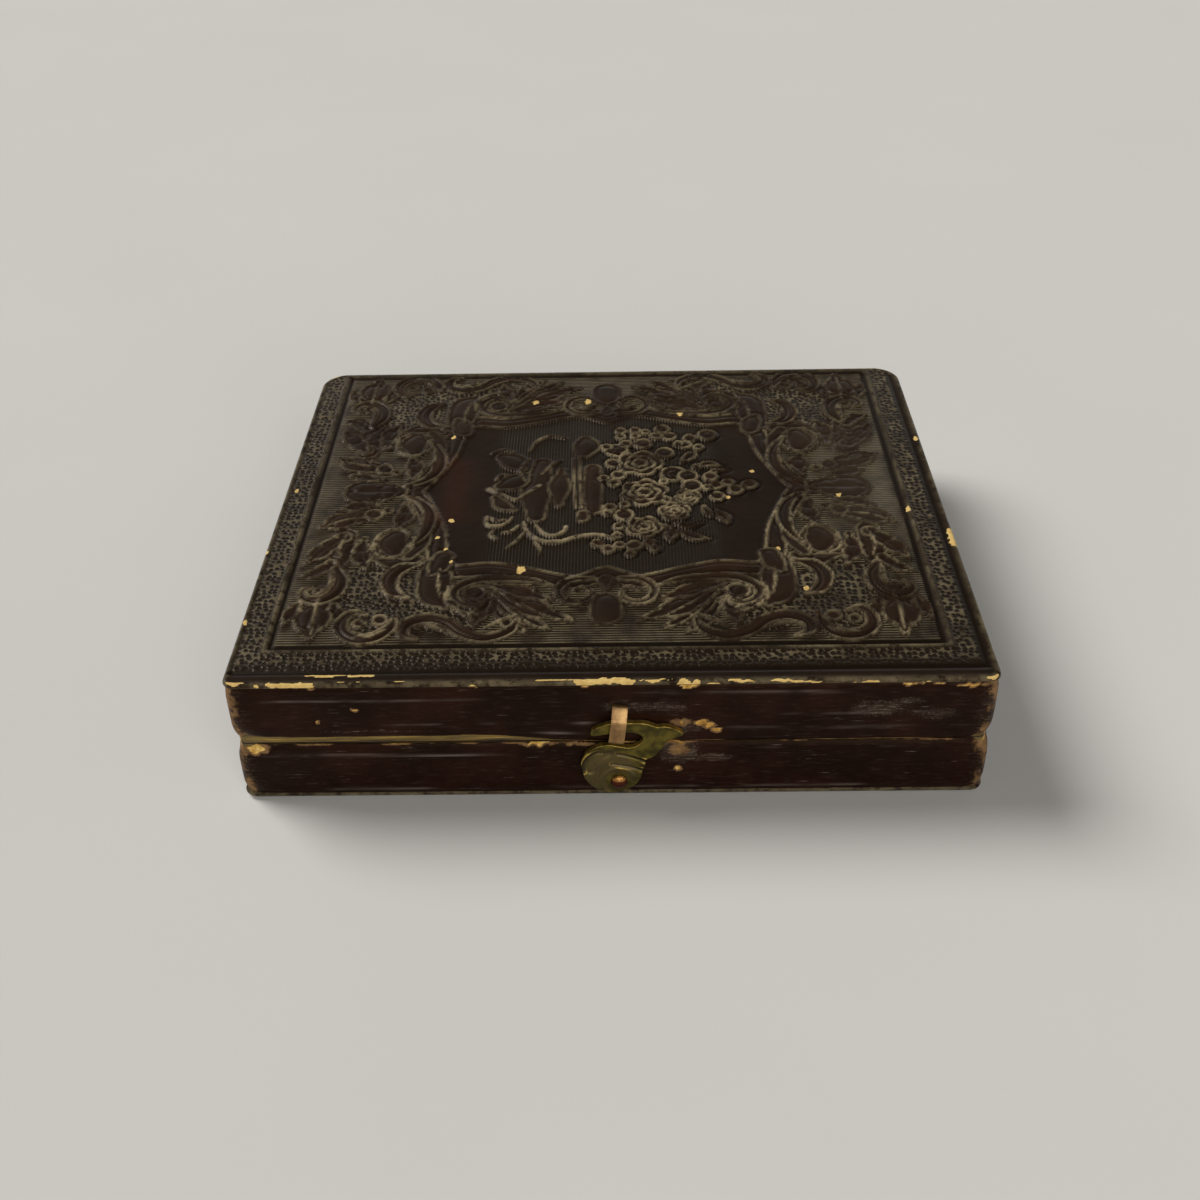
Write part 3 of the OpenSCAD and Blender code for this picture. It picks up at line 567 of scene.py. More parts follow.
def add(owner, kind, *values, out=None, stops=(), **named):
    """Adds a shader node and gives its output. Plain values fill its inputs in order, and stops its colour
    ramp. Names with a capital are inputs, the others settings. A value is a number, a hex colour or another
    node's output."""
    kind, settings = KINDS.get(kind, (kind, {}))
    named = {**settings, **named}
    tree = owner.node_tree
    node = tree.nodes.new("ShaderNode" + kind)
    for key, value in named.items():
        if key[0].islower():
            setattr(node, key, value)
    for i, (at, colour) in enumerate(stops):
        stop = node.color_ramp.elements[i] if i < 2 else node.color_ramp.elements.new(at)
        stop.position = at
        stop.color = linear(colour)
    filled = list(zip([socket for socket in node.inputs if socket.enabled], values))
    filled += [(node.inputs[key.replace("_", " ")], value)
               for key, value in named.items() if key[0].isupper()]
    for socket, value in filled:
        if isinstance(value, bpy.types.NodeSocket):
            tree.links.new(value, socket)
        else:
            socket.default_value = linear(value) if isinstance(value, str) else value
    if out:
        return node.outputs[out]
    return next((socket for socket in node.outputs if socket.enabled), None)


def begin(name, *masks):
    """An empty material, its object coordinates and the masks painted on its pieces."""
    material = bpy.data.materials.new(name)
    material.use_nodes = True
    material.node_tree.nodes.clear()
    at = add(material, "TexCoord", out="Object")
    return material, at, *[add(material, "Attribute", attribute_name=mask, out="Fac") for mask in masks]


def shaded(material, **inputs):
    """Ends a material with its shader."""
    add(material, "OutputMaterial", Surface=add(material, "BsdfPrincipled", **inputs))
    return material


def blots(m, at, mm, low, high, detail=4.0, roughness=0.5):
    """Soft-edged blots about mm across: 0 where the noise is at low, 1 where it is at high."""
    return add(m, "Step", add(m, "TexNoise", at, per(mm), detail, roughness), low, high)


def cover_leather():
    """Sheepskin, dyed nearly black, stamped hot and polished. The raised forms are smooth and dark, the ruled
    and pebbled ground is olive-grey, and the rims are rubbed to a dull grey-tan. Painted shade darkens the
    places where the relief sinks."""
    m, at, form, rub, chip, red, deep, faded, rule, hatch, pebble = begin(
        "stamped_sheepskin", "form", "rub", "chip", "red", "deep", "faded", "rule", "hatch", "pebble")
    grain = add(m, "TexNoise", at, per(0.35), 5.0, 0.6)
    cloudy = blots(m, at, 9, 0.35, 0.7)
    body = add(m, "Blend", cloudy, "#190f09", "#291a10")
    body = add(m, "Blend", red, body, "#3d1d12")
    body = add(m, "Blend", add(m, "Times", grain, 0.3), body, "#43362a")
    ground = add(m, "Blend", grain, "#1d150d", "#342b20")
    colour = add(m, "Blend", form, ground, body)
    # Painted shade: the sunk places of the relief are darkened nearly to black
    colour = add(m, "Blend", add(m, "Times", deep, 0.75), colour, "#0f0805")
    colour = add(m, "Blend", add(m, "Times", faded, 0.6), colour, "#4b4337")
    rules, hatching = [
        add(m, "Times", mask, add(m, "TexWave", at, WAVE_GAP * per(mm), 0.4, 1.0, 0.6,
                                  bands_direction=axis, out="Fac"))
        for mask, mm, axis in ((rule, 0.5, "Y"), (hatch, 0.45, "X"))]
    dots = add(m, "TexVoronoi", at, per(0.78), Randomness=0.7)
    net = add(m, "Times", add(m, "Step", dots, 0.3, 0.62), 0.8)
    net = add(m, "Times", net, pebble)
    lines = add(m, "Higher", add(m, "Higher", rules, hatching), net)
    worn = add(m, "Blend", add(m, "TexNoise", at, per(1.1), 4.0), "#76674e", "#b1a07a")
    patchy = blots(m, at, 3.5, 0.25, 0.7)
    crests = add(m, "Times", add(m, "Step", lines, 0.45, 1.0), patchy)
    colour = add(m, "Blend", add(m, "Times", crests, 0.6), colour, worn)
    torn = blots(m, at, 1.4, 0.34, 0.56, 5.0, 0.65)
    colour = add(m, "Blend", add(m, "Times", rub, torn), colour, worn)
    ragged = add(m, "Times", add(m, "TexNoise", at, per(0.5), 4.0), 0.5)
    bare = add(m, "Step", add(m, "Math", chip, ragged), 0.72, 0.82)
    flesh = add(m, "Blend", add(m, "TexNoise", at, per(0.6), 4.0), "#b58a48", "#fadb8e")
    colour = add(m, "Blend", bare, colour, flesh)
    rough = add(m, "TimesPlus", add(m, "TexNoise", at, per(2.5), 4.0), 0.16, 0.26)
    rough = add(m, "TimesPlus", bare, 0.35, rough, use_clamp=True)
    fine = add(m, "Bump", Distance=0.012 * MM, Height=grain)
    height = add(m, "TimesPlus", bare, -0.8, lines)
    normal = add(m, "Bump", Distance=0.13 * MM, Height=height, Normal=fine)
    return shaded(m, Base_Color=colour, Roughness=rough, Normal=normal, IOR=1.45, Specular_IOR_Level=0.24,
                  Specular_Tint="#d8bf9f")


def edge_leather():
    """Thin sheepskin round the edges, dyed oxblood-black and burnished by hands: glossy, finely creased along
    its length, scratched, streaked pale along its creases and scratches with painted highlights, and worn
    through to tan fibre and pale wood at edges and corners."""
    m, at, wear, scuff, line = begin("burnished_edge_leather", "wear", "scuff", "line")
    flat = add(m, "Mapping", at, Scale=(0.12, 0.12, 1.0))
    thin = add(m, "Mapping", at, Scale=(0.04, 0.04, 1.0))
    grain = add(m, "TexNoise", at, per(0.3), 5.0)
    streaks = add(m, "TexNoise", flat, per(0.35), 4.0, 0.7)
    cloudy = blots(m, at, 7, 0.35, 0.7)
    colour = add(m, "Blend", cloudy, "#170a06", "#25120c")
    streaky = add(m, "Times", add(m, "Step", streaks, 0.5, 0.8), 0.5)
    colour = add(m, "Blend", streaky, colour, "#46362c")
    scratches_and_highlight_streaks = blots(m, thin, 0.16, 0.63, 0.76, 3.0, 0.7)
    sparse = blots(m, at, 5, 0.45, 0.65, 3.0)
    scratches_and_highlight_streaks = add(m, "Times", add(m, "Times", scratches_and_highlight_streaks, sparse), 0.7)
    # Pale streaks: fine scratches, and painted highlights along the creases from the line mask
    colour = add(m, "Blend", add(m, "Higher", scratches_and_highlight_streaks, line), colour, "#94857a")
    grey = add(m, "Blend", grain, "#3a2e27", "#8a7d6c")
    fibres = blots(m, flat, 0.22, 0.48, 0.7, 4.0, 0.75)
    rubbed = add(m, "Step", add(m, "TimesPlus", grain, 0.7, scuff), 0.6, 1.0)
    rubbed = add(m, "Times", rubbed, add(m, "TimesPlus", fibres, 0.75, 0.12))
    colour = add(m, "Blend", rubbed, colour, grey)
    ragged = add(m, "TimesPlus", add(m, "TexNoise", at, per(0.55), 5.0, 0.7), 0.55, wear)
    level = add(m, "TimesPlus", streaks, 0.22, ragged)
    tan = add(m, "Blend", add(m, "TexNoise", at, per(0.9), 4.0), "#4a3320", "#9a7750")
    colour = add(m, "Blend", add(m, "Step", level, 0.66, 0.88), colour, tan)
    opened = add(m, "Step", level, 0.98, 1.05)
    bare = add(m, "TexNoise", at, per(1.0), 4.0, 0.6)
    bare = add(m, "ValToRGB", bare, stops=[(0.3, "#8a6229"), (0.45, "#b98c45"), (0.6, "#dfb96a"),
                                           (0.75, "#f8d990")])
    colour = add(m, "Blend", opened, colour, bare)
    rough = add(m, "TimesPlus", streaks, 0.2, 0.2)
    rough = add(m, "TimesPlus", add(m, "MapRange", level, 0.6, 0.9), 0.3, rough, use_clamp=True)
    rippled = add(m, "TimesPlus", streaks, 1.5, grain)
    fine = add(m, "Bump", Distance=0.02 * MM, Height=rippled)
    torn = add(m, "Minus", 1.0, opened)
    normal = add(m, "Bump", Distance=0.09 * MM, Height=torn, Normal=fine)
    return shaded(m, Base_Color=colour, Roughness=rough, Normal=normal, IOR=1.45, Specular_IOR_Level=0.11,
                  Specular_Tint="#e6c4a4")


def hinge_leather():
    """Thin skiver leather inside the hinge: matt red-brown with fine cross creases."""
    m, at = begin("skiver_leather")
    creases = add(m, "TexNoise", add(m, "Mapping", at, Scale=(1.0, 0.15, 0.15)), per(0.5), 4.0)
    return shaded(m, Base_Color=add(m, "Blend", creases, "#3c1d15", "#6a3d2b"), Roughness=0.6,
                  Normal=add(m, "Bump", Distance=0.05 * MM, Height=creases))


def wood(name, scale):
    """Soft pine, sawn and planed: straight pale grain with darker late wood, matt. Its front, where worn
    leather bares it, is dark with handling, and its rims are stained where the two halves meet."""
    pale, dark = "#d9b26a", "#b98a45"
    m, at = begin(name)
    run = add(m, "Mapping", at, Scale=scale)
    rings = add(m, "Step", add(m, "TexNoise", run, per(1.3), 3.0, Distortion=0.6), 0.4, 0.62)
    fibre = add(m, "TexNoise", run, per(0.25), 5.0, 0.7)
    colour = add(m, "Blend", rings, pale, dark)
    colour = add(m, "Blend", add(m, "Times", fibre, 0.4), colour, dark)
    height = add(m, "SeparateXYZ", at, out="Z")
    from_seam = add(m, "Minus", height, HINGE_Z * MM)
    from_seam = add(m, "Math", from_seam, operation="ABSOLUTE")
    front = add(m, "SeparateXYZ", at, out="Y")
    outside = add(m, "MapRange", front, (1 - CASE_HALF_D) * MM, (0.8 - CASE_HALF_D) * MM)
    handled = add(m, "TexNoise", run, per(0.9), 5.0, 0.7)
    handled = add(m, "ValToRGB", handled, stops=[(0.36, "#1d140a"), (0.46, "#54421a"), (0.58, "#7d6526"),
                                                 (0.7, "#b08d42")])
    colour = add(m, "Blend", outside, colour, handled)
    rim = add(m, "MapRange", from_seam, 0.08 * MM, 0.12 * MM, 1.0, 0.0)
    patchy = blots(m, run, 1.8, 0.72, 0.56, 5.0, 0.7)
    stain = add(m, "Times", add(m, "Times", rim, patchy), 0.9)
    colour = add(m, "Blend", stain, colour, "#2b1610")
    return shaded(m, Base_Color=colour, Roughness=0.62,
                  Normal=add(m, "Bump", Distance=0.03 * MM, Height=fibre))


def paperboard(name, first, second, mm):
    """Pressed rag board and paper: matt, with specks and short fibres."""
    m, at = begin(name)
    specks = add(m, "TexNoise", at, per(mm), 5.0, 0.7)
    colour = add(m, "Blend", add(m, "TexNoise", at, per(12), 4.0), first, second)
    colour = add(m, "Blend", add(m, "Step", specks, 0.6, 0.72), colour, "#6a543c")
    return shaded(m, Base_Color=colour, Roughness=0.85,
                  Normal=add(m, "Bump", Distance=0.03 * MM, Height=specks))


def velvet():
    """Silk velvet: short upright pile that is dark face on and glows softly at a grazing angle."""
    m, at = begin("crimson_silk_velvet")
    pile = add(m, "TexNoise", at, per(0.22), 2.0)
    nap = blots(m, at, 14, 0.3, 0.75, 3.0)
    colour = add(m, "Blend", nap, "#4d0e19", "#611522")
    colour = add(m, "Blend", add(m, "Times", pile, 0.5), colour, "#35070f")
    return shaded(m, Base_Color=colour, Roughness=0.9, Sheen_Weight=0.6, Sheen_Roughness=0.35,
                  Sheen_Tint="#d0606e", Normal=add(m, "Bump", Distance=0.12 * MM, Height=pile))


def silver_plate():
    """Silvered copper, buffed to a soft mirror and left bare. Tarnish creeps in from the mat's opening in
    straw, violet and blue rings."""
    m, at = begin("buffed_silver_plate")
    wide = add(m, "Mapping", at, Scale=(1 / (OVAL_X * MM), 1 / (OVAL_Y * MM), 0))
    radius = add(m, "VectorMath", wide, operation="LENGTH", out="Value")
    reach = add(m, "TimesPlus", add(m, "TexNoise", at, per(5), 5.0), 0.13, radius)
    ring = add(m, "ValToRGB", reach, stops=[(0.0, "#a5a49e"), (0.88, "#a09b8c"), (0.95, "#93754a"),
                                            (0.98, "#6a4b5f"), (1.0, "#34394f")])
    buffed = add(m, "TexNoise", add(m, "Mapping", at, Scale=(1.0, 0.05, 1.0)), per(0.3), 3.0)
    return shaded(m, Base_Color=ring, Metallic=1.0, Roughness=add(m, "TimesPlus", buffed, 0.12, 0.24))


def brass(name, bright, dull, dirt, roughness, mm, depth):
    """Sheet brass, lacquered long ago: warm, toned in blotches, with fine pits."""
    m, at = begin(name)
    toned = blots(m, at, 2.5, 0.35, 0.65)
    pits = add(m, "TexNoise", at, per(mm), 4.0, 0.7)
    colour = add(m, "Blend", toned, bright, dull)
    dirty = add(m, "Times", add(m, "Step", pits, 0.56, 0.7), 0.6)
    return shaded(m, Base_Color=add(m, "Blend", dirty, colour, dirt), Metallic=1.0,
                  Roughness=add(m, "TimesPlus", pits, 0.25, roughness),
                  Normal=add(m, "Bump", Distance=depth * MM, Height=pits))


def pebbled_brass():
    """Brass mat, its face stamped with fine pebbles and lacquered: matt gold."""
    m, at = begin("pebbled_brass_mat")
    cells = add(m, "TexVoronoi", at, per(0.42))
    colour = add(m, "Blend", add(m, "TexNoise", at, per(8), 3.0), "#c79c4a", "#a87c33")
    colour = add(m, "Blend", add(m, "Step", cells, 0.35, 0.75), colour, "#7c5a24")
    raised = add(m, "Minus", 1.0, cells)
    return shaded(m, Base_Color=colour, Metallic=1.0, Roughness=0.42,
                  Normal=add(m, "Bump", Distance=0.08 * MM, Height=raised))


def hook_brass():
    """Cast brass hook, never polished: olive-brown patina, dark in the hollows, gold on its rubbed rims, and
    a painted highlight on the rims that face up.
    """
    m, at, hollow, matt, bright = begin("patinated_hook_brass", "hollow", "matt", "bright")
    pits = add(m, "TexNoise", at, per(0.28), 4.0, 0.7)
    toned = blots(m, at, 1.6, 0.35, 0.66)
    colour = add(m, "Blend", toned, "#6d6026", "#3f3818")
    colour = add(m, "Blend", hollow, colour, "#1f1a0e")
    grained = add(m, "Blend", pits, "#33291a", "#7c6c49")
    colour = add(m, "Blend", add(m, "Times", matt, 0.75), colour, grained)
    # Gold rims: rubbing, with a painted highlight weighted to the rims that face up
    rubbed_and_highlit_rims = add(m, "Step", add(m, "TimesPlus", pits, 0.4, bright), 0.55, 0.95)
    colour = add(m, "Blend", rubbed_and_highlit_rims, colour, "#c9a750")
    return shaded(m, Base_Color=colour, Metallic=0.85, Roughness=add(m, "TimesPlus", pits, 0.35, 0.28),
                  Normal=add(m, "Bump", Distance=0.02 * MM, Height=pits))


def copper_pin():
    """Copper-alloy pin, its domed head dark with handling and lightened on its upper side with a painted
    highlight.
    """
    m, at = begin("handled_copper_pin")
    pits = add(m, "TexNoise", at, per(0.3), 4.0)
    up = add(m, "SeparateXYZ", at, out="Z")
    # Painted highlight: the upper part of the head turns bright copper-gold
    high = add(m, "MapRange", up, (HOOK_PIN[1] + 0.35) * MM, (HOOK_PIN[1] + 0.8) * MM)
    rubbed = add(m, "Times", high, add(m, "Step", pits, 0.3, 0.55))
    return shaded(m, Base_Color=add(m, "Blend", rubbed, "#54281a", "#d19a52"), Metallic=0.9,
                  Roughness=add(m, "TimesPlus", pits, 0.3, 0.25),
                  Normal=add(m, "Bump", Distance=0.03 * MM, Height=pits))


def plate_glass():
    """Old blown cover glass: clear with a cool cast, brightest at a grazing angle."""
    m, at = begin("blown_cover_glass")
    facing = add(m, "LayerWeight", 0.25, out="Facing")
    clear = add(m, "TimesPlus", facing, 0.35, 0.07, use_clamp=True)
    rough = add(m, "TimesPlus", add(m, "TexNoise", at, per(4), 3.0), 0.05, 0.03)
    waves = add(m, "Bump", Distance=0.4 * MM, Height=add(m, "TexNoise", at, per(30), 1.0))
    return shaded(m, Base_Color="#e6efea", IOR=1.5, Alpha=clear, Roughness=rough, Normal=waves)


COVER_LEATHER = cover_leather()
EDGE_LEATHER = edge_leather()
HINGE_LEATHER = hinge_leather()
WOOD_X = wood("planed_pine_lengthwise", scale=(0.06, 1.0, 1.0))
WOOD_Y = wood("planed_pine_crosswise", scale=(1.0, 0.06, 1.0))
CARD = paperboard("rag_pasteboard", "#8d7452", "#a58b64", mm=0.5)
LINING = paperboard("aged_lining_paper", "#b8a57e", "#cbbb96", mm=0.7)
TAPE = paperboard("binding_paper", "#4d4236", "#63564a", mm=0.4)
VELVET = velvet()
SILVER = silver_plate()
MAT_BRASS = pebbled_brass()
THIN_BRASS = brass("stamped_thin_brass", "#b98e45", "#94702f", "#4a3a1c", roughness=0.3, mm=0.8, depth=0.01)
KEEPER_BRASS = brass("rubbed_strip_brass", "#ae8b5c", "#77583c", "#43301f", roughness=0.28, mm=0.5,
                     depth=0.015)
HOOK_BRASS = hook_brass()
COPPER = copper_pin()
GLASS = plate_glass()


# Covers

COVER_COLUMNS, COVER_ROWS = 324, 278
# Slopes at which the rolled edge falls, in degrees
ROLLED = (0, 25, 50, 70, 90)
# Most that the ornament stands above its ground: the lid's may pass the CAD box by a hair, the tray's
# stays clear of the table
TALLEST = {"lid": RELIEF + 0.06, "tray": RELIEF - 0.02}
# Chips on the face and at the ends: x, y and size
TOP_CHIPS = [(-12, -17, 1.1), (-22.5, -4.5, 0.7), (-24, -9, 0.6), (-22.6, -12, 0.5), (-21.6, -15, 0.5),
             (-12, 30, 0.9), (-3.5, 30, 0.9), (17, 1, 0.6), (-24.3, 19, 0.7), (21, 8, 0.6), (33, 1, 0.6),
             (25.8, -21.8, 0.7), (11, 25.5, 0.8), (23, -12.5, 0.6)]
EDGE_CHIPS = [(-47.3, -12, 0.5), (-47, -28, 0.6), (47.3, -11, 1.6), (47.2, -9, 1.2), (42.3, -3, 0.7),
              (46.8, 17, 0.7), (-46, 4, 0.6)]
# Middle of the red streak on the panel's left, and where the front band's pebbles fade
RED_STREAK = (-22.5, 4)
PLAIN_FROM, PLAIN_TO = 36.2, 37.2


def core_radius(p):
    """Radius of the nearest corner inside the rolled edge, as a column."""
    return (np.where(p[:, 1] < 0, FRONT_CORNER_R, BACK_CORNER_R) - COVER_EDGE_R)[:, None]


def cover_sheet(name, half, ground):
    """A dense flat sheet with round corners at the height of its ground, its edge extruded down in steps
    and closed below."""
    obj, p = grid(name, COVER_COLUMNS, COVER_ROWS)
    r = core_radius(p)
    flat = p[:, :2] * half
    into = np.clip((np.abs(flat) - (half - r)) / r, 0, 1)
    bent = (half - r) + r * into * np.sqrt(1 - into[:, ::-1] ** 2 / 2)
    corner = (into > 0).all(1)
    flat[corner] = (np.sign(flat) * bent)[corner]
    place(obj, np.column_stack([flat, np.full(len(flat), ground)]))
    falls = [COVER_EDGE_R * (1 - math.cos(math.radians(slope))) for slope in ROLLED] + [ground]
    with editing(obj):
        bpy.ops.mesh.select_mode(type="EDGE")
        bpy.ops.mesh.select_all(action="DESELECT")
        bpy.ops.mesh.select_non_manifold()
        for above, below in zip(falls, falls[1:]):
            down = {"value": (0, 0, -(below - above) * MM)}
            bpy.ops.mesh.extrude_edges_move(TRANSFORM_OT_translate=down)
        bpy.ops.mesh.edge_face_add()
    return obj


def cover_chips(x, y, rim, ragged):
    """Where a cover is chipped or frayed through to its pale flesh side, 0 to 1."""
    chip = np.zeros(len(x))
    for cx, cy, size in TOP_CHIPS:
        chip = np.maximum(chip, 0.75 * spot(x, y, cx, cy, size, size * 1.25))
    for cx, cy, size in EDGE_CHIPS:
        chip = np.maximum(chip, 0.8 * spot(x, y, cx, cy, size * 0.75, size * 1.5))
    at_corner = smooth(np.hypot(x, y) - np.hypot(CASE_HALF_W, CASE_HALF_D), -6, -2)
    frayed = 0.6 * ragged * at_corner + 0.36 * smooth(ragged, 0.6, 0.85)
    return np.maximum(chip, bump(rim, 0.15, 0.5) * frayed)


def cover_masks(x, y, rim, pressed, seed):
    """Masks for the finish of a cover. It is rubbed most at the front and on the bouquet, and faded at the
    right end and towards the back. Its sunk places get painted shade."""
    rub = np.clip(pressed.rub, 0, 1) ** 1.4 * smooth(noise(x, y, 6, seed), 0.15, 0.75)
    rub *= 0.45 + 0.45 * smooth(-y, -6, 14) + 0.9 * spot(x, y, 6, 4, 12, 15)
    faded = smooth(x, 26, 36) * smooth(18 - np.abs(y - 6), 0, 8) * smooth(42 - x, 0, 2)
    return {
        "form": pressed.form, "rule": pressed.rule, "hatch": pressed.hatch * 0.45,
        "pebble": pressed.pebble * (1 - 0.45 * smooth(-y, PLAIN_FROM, PLAIN_TO)),
        # Painted shade where the relief sinks below its ground
        "deep": smooth(-pressed.height, -0.12, 0.4) + 0.5 * smooth(-pressed.height, -0.35, 0.1),
        "rub": np.maximum(rub, 0.6 * bump(rim, 0.15, 0.5) * noise(x, y, 3, seed + 1)),
        "faded": (faded + 0.35 * smooth(y, 10, 30) * noise(x, y, 9, seed + 2)) * (1 - 0.6 * pressed.form),
        "red": bump(x, RED_STREAK[0], 2.6) * smooth(11 - np.abs(y - RED_STREAK[1]), 0, 4),
    }


def cover(name, node, body, seed):
    """A stamped cover: dense sheet with its relief, rolled edge and flat back."""
    low, high = box_mm(node)
    ground = high[2] - low[2] - RELIEF
    half = high[:2] - COVER_EDGE_R
    obj = cover_sheet(name, half, ground)
    p = points_of(obj)
    # The edge rolls over in a quarter circle, outwards from the nearest place of the flat core
    fall = np.clip(ground - p[:, 2], 0, COVER_EDGE_R)
    push = np.sqrt(np.maximum(COVER_EDGE_R**2 - (COVER_EDGE_R - fall) ** 2, 0))
    r = core_radius(p)
    core = np.clip(p[:, :2], -(half - r), half - r)
    away = p[:, :2] - core
    away /= np.maximum(np.hypot(away[:, 0], away[:, 1]), 1e-6)[:, None]
    p[:, :2] += away * push[:, None]
    x, y = p[:, 0], p[:, 1]
    top = fall < 1e-4
    rim = np.minimum(high[0] - np.abs(x), high[1] - np.abs(y))
    rim = np.where((away != 0).all(1), r[:, 0] + COVER_EDGE_R - np.hypot(*(p[:, :2] - core).T), rim)
    # The stamp's relief, on leather with lumps and grain of its own
    pressed = stamp(x, y)
    lumps = noise(x, y, 11, seed) - 0.5
    grain = noise(x, y, 0.7, seed + 1) - 0.5
    height = pressed.height * STAMP_DEPTH - 0.08 + 0.1 * lumps * smooth(rim, 0.5, 3) + 0.03 * grain
    height += 0.1 * (noise(x, y, 0.75, seed + 2) - 0.5) * pressed.pebble
    p[:, 2] += np.clip(height, -RELIEF, TALLEST[body]) * top * smooth(rim, 0.45, 0.9)
    chip = cover_chips(x, y, rim, noise(x, y, 2.2, seed + 3))
    if body == "lid":
        over_edge = np.where(top, high[2] + (y + CASE_HALF_D - COVER_EDGE_R), p[:, 2] + low[2])
        near_front = smooth(-y, CASE_HALF_D - 4, CASE_HALF_D - 3)
        chip = np.maximum(chip, near_front * front_wear(x, over_edge))
    paint(obj, chip=chip * (p[:, 2] > ground - 0.5), **cover_masks(x, y, rim, pressed, seed + 4))
    if body == "tray":
        p[:, 0] *= -1
        p[:, 2] = high[2] - p[:, 2]
    else:
        p[:, 2] += low[2]
    place(obj, p)
    dress(obj, COVER_LEATHER, body, [node])


# Where the lid's front edge is worn through: x from and to, middle height and how tall. A height past the
# top of the case runs on inwards over the cover.
FRONT_WEAR = [(-47.4, -44.2, 19.2, 0.5), (-42.4, -35.6, 18.9, 0.7), (-37.4, -35.6, 18.4, 0.7),
              (-38, -28, 20.7, 0.4), (-34.6, -30, 19.3, 0.16), (-27, -24, 19.3, 0.2),
              (-18, -15.4, 18.4, 0.45), (-9.8, -3.4, 19.3, 0.3), (-4.8, 3.4, 19, 1.0), (3, 8, 19.1, 0.35),
              (7.6, 11.4, 18.4, 1.3), (11.2, 14, 18.5, 0.5), (13.6, 18, 18.9, 0.3), (19, 26, 18.8, 0.2),
              (28.6, 33, 18.7, 0.3), (34.5, 41, 18.3, 0.34), (41.5, 47.4, 17.9, 0.55), (45, 47.4, 19, 0.5)]


def front_wear(x, z):
    """How far the lid's front edge is worn through at each place, 0 to 1."""
    worn = np.zeros(len(x))
    ragged = 0.1 + 1.7 * noise(x, z * 0.6, 0.9, 40)
    wander = 0.5 * (noise(x, x * 0, 4, 41) - 0.5) + 0.5 * (noise(x, x * 0, 0.8, 42) - 0.5)
    for start, end, middle, tall in FRONT_WEAR:
        reach = smooth(x, start, start + 1.2) * (1 - smooth(x, end - 1.2, end))
        depth = tall * ragged * reach / 2 - np.abs(z - middle - wander)
        worn = np.maximum(worn, smooth(depth, -0.14, 0.1) * smooth(reach, 0, 0.4))
    return worn


# Leather round the sides

SIDE_CELL = 0.3
# Where the keeper goes into the lid's front: x and z
KEEPER_ROOT = (1.1, 15.4)
# Marks on the front: x, z, half sizes across and up, how strong, and what they leave; a line leaves a streak
# of painted highlight
LID_MARKS = [
    (11.3, 12.4, 0.9, 0.4, 1.1, "wear"), (12.2, 11.8, 0.8, 0.4, 1.1, "wear"),
    (13.1, 11.1, 0.8, 0.35, 1.1, "wear"), (8.8, 12.5, 1.9, 0.8, 0.62, "wear"),
    (9.2, 11.6, 2.4, 1.0, 0.8, "scuff"), (33, 14.4, 4.2, 1.6, 0.75, "scuff"),
    (36.5, 15.6, 2.5, 0.8, 0.7, "scuff"), (40, 13.4, 3.6, 1.4, 0.5, "scuff"), (6, 15, 5, 1.1, 0.6, "scuff"),
    (1.1, 15.2, 2.4, 0.8, 0.95, "scuff"), (-30, 11, 9, 0.5, 0.5, "scuff"),
    (-31.6, 15, 0.45, 0.4, 0.95, "wear"), (-36.2, 13.1, 0.35, 0.35, 0.95, "wear"),
    (-6.8, 10.8, 2, 0.12, 1.0, "line"), (-3.4, 12.4, 1.2, 0.12, 0.8, "line"),
]
BASE_MARKS = [
    (8.6, 7.4, 2.6, 1.8, 1.0, "scuff"), (8.4, 7.8, 1.5, 1.1, 0.66, "wear"), (8.5, 4.7, 0.6, 0.5, 1.0, "wear"),
    (12.4, 6.6, 3.4, 0.7, 0.9, "scuff"), (7.6, 8.4, 3.6, 0.6, 0.95, "scuff"),
    (-9, 8.9, 2.6, 0.3, 1.1, "wear"), (-4, 8.9, 3, 0.25, 0.7, "wear"), (8, 8.9, 2.4, 0.25, 0.8, "wear"),
    (-44.8, 8.4, 1.7, 0.8, 1.2, "wear"), (10.2, 3.2, 0.4, 0.9, 0.5, "scuff"),
]
# Fine creases along the front: height, depth, and x from and to
LID_CREASES = [(17, 0.1, 1, 30), (16.2, 0.05, -46, -14), (11.3, 0.05, 12, 46), (12.3, 0.04, -30, -8),
               (13.6, 0.04, 18, 46)]
BASE_CREASES = [(7.3, 0.08, -46, -12), (8.1, 0.06, 17, 44), (1.6, 0.05, -40, 40)]


def leather_band(obj, thickness, body, nodes):
    """Gives a wrapped band its thickness inwards and its finish."""
    modify(obj, "SOLIDIFY", thickness=thickness * MM, offset=-1, use_even_offset=True)
    dress(obj, EDGE_LEATHER, body, nodes, sharp=60)


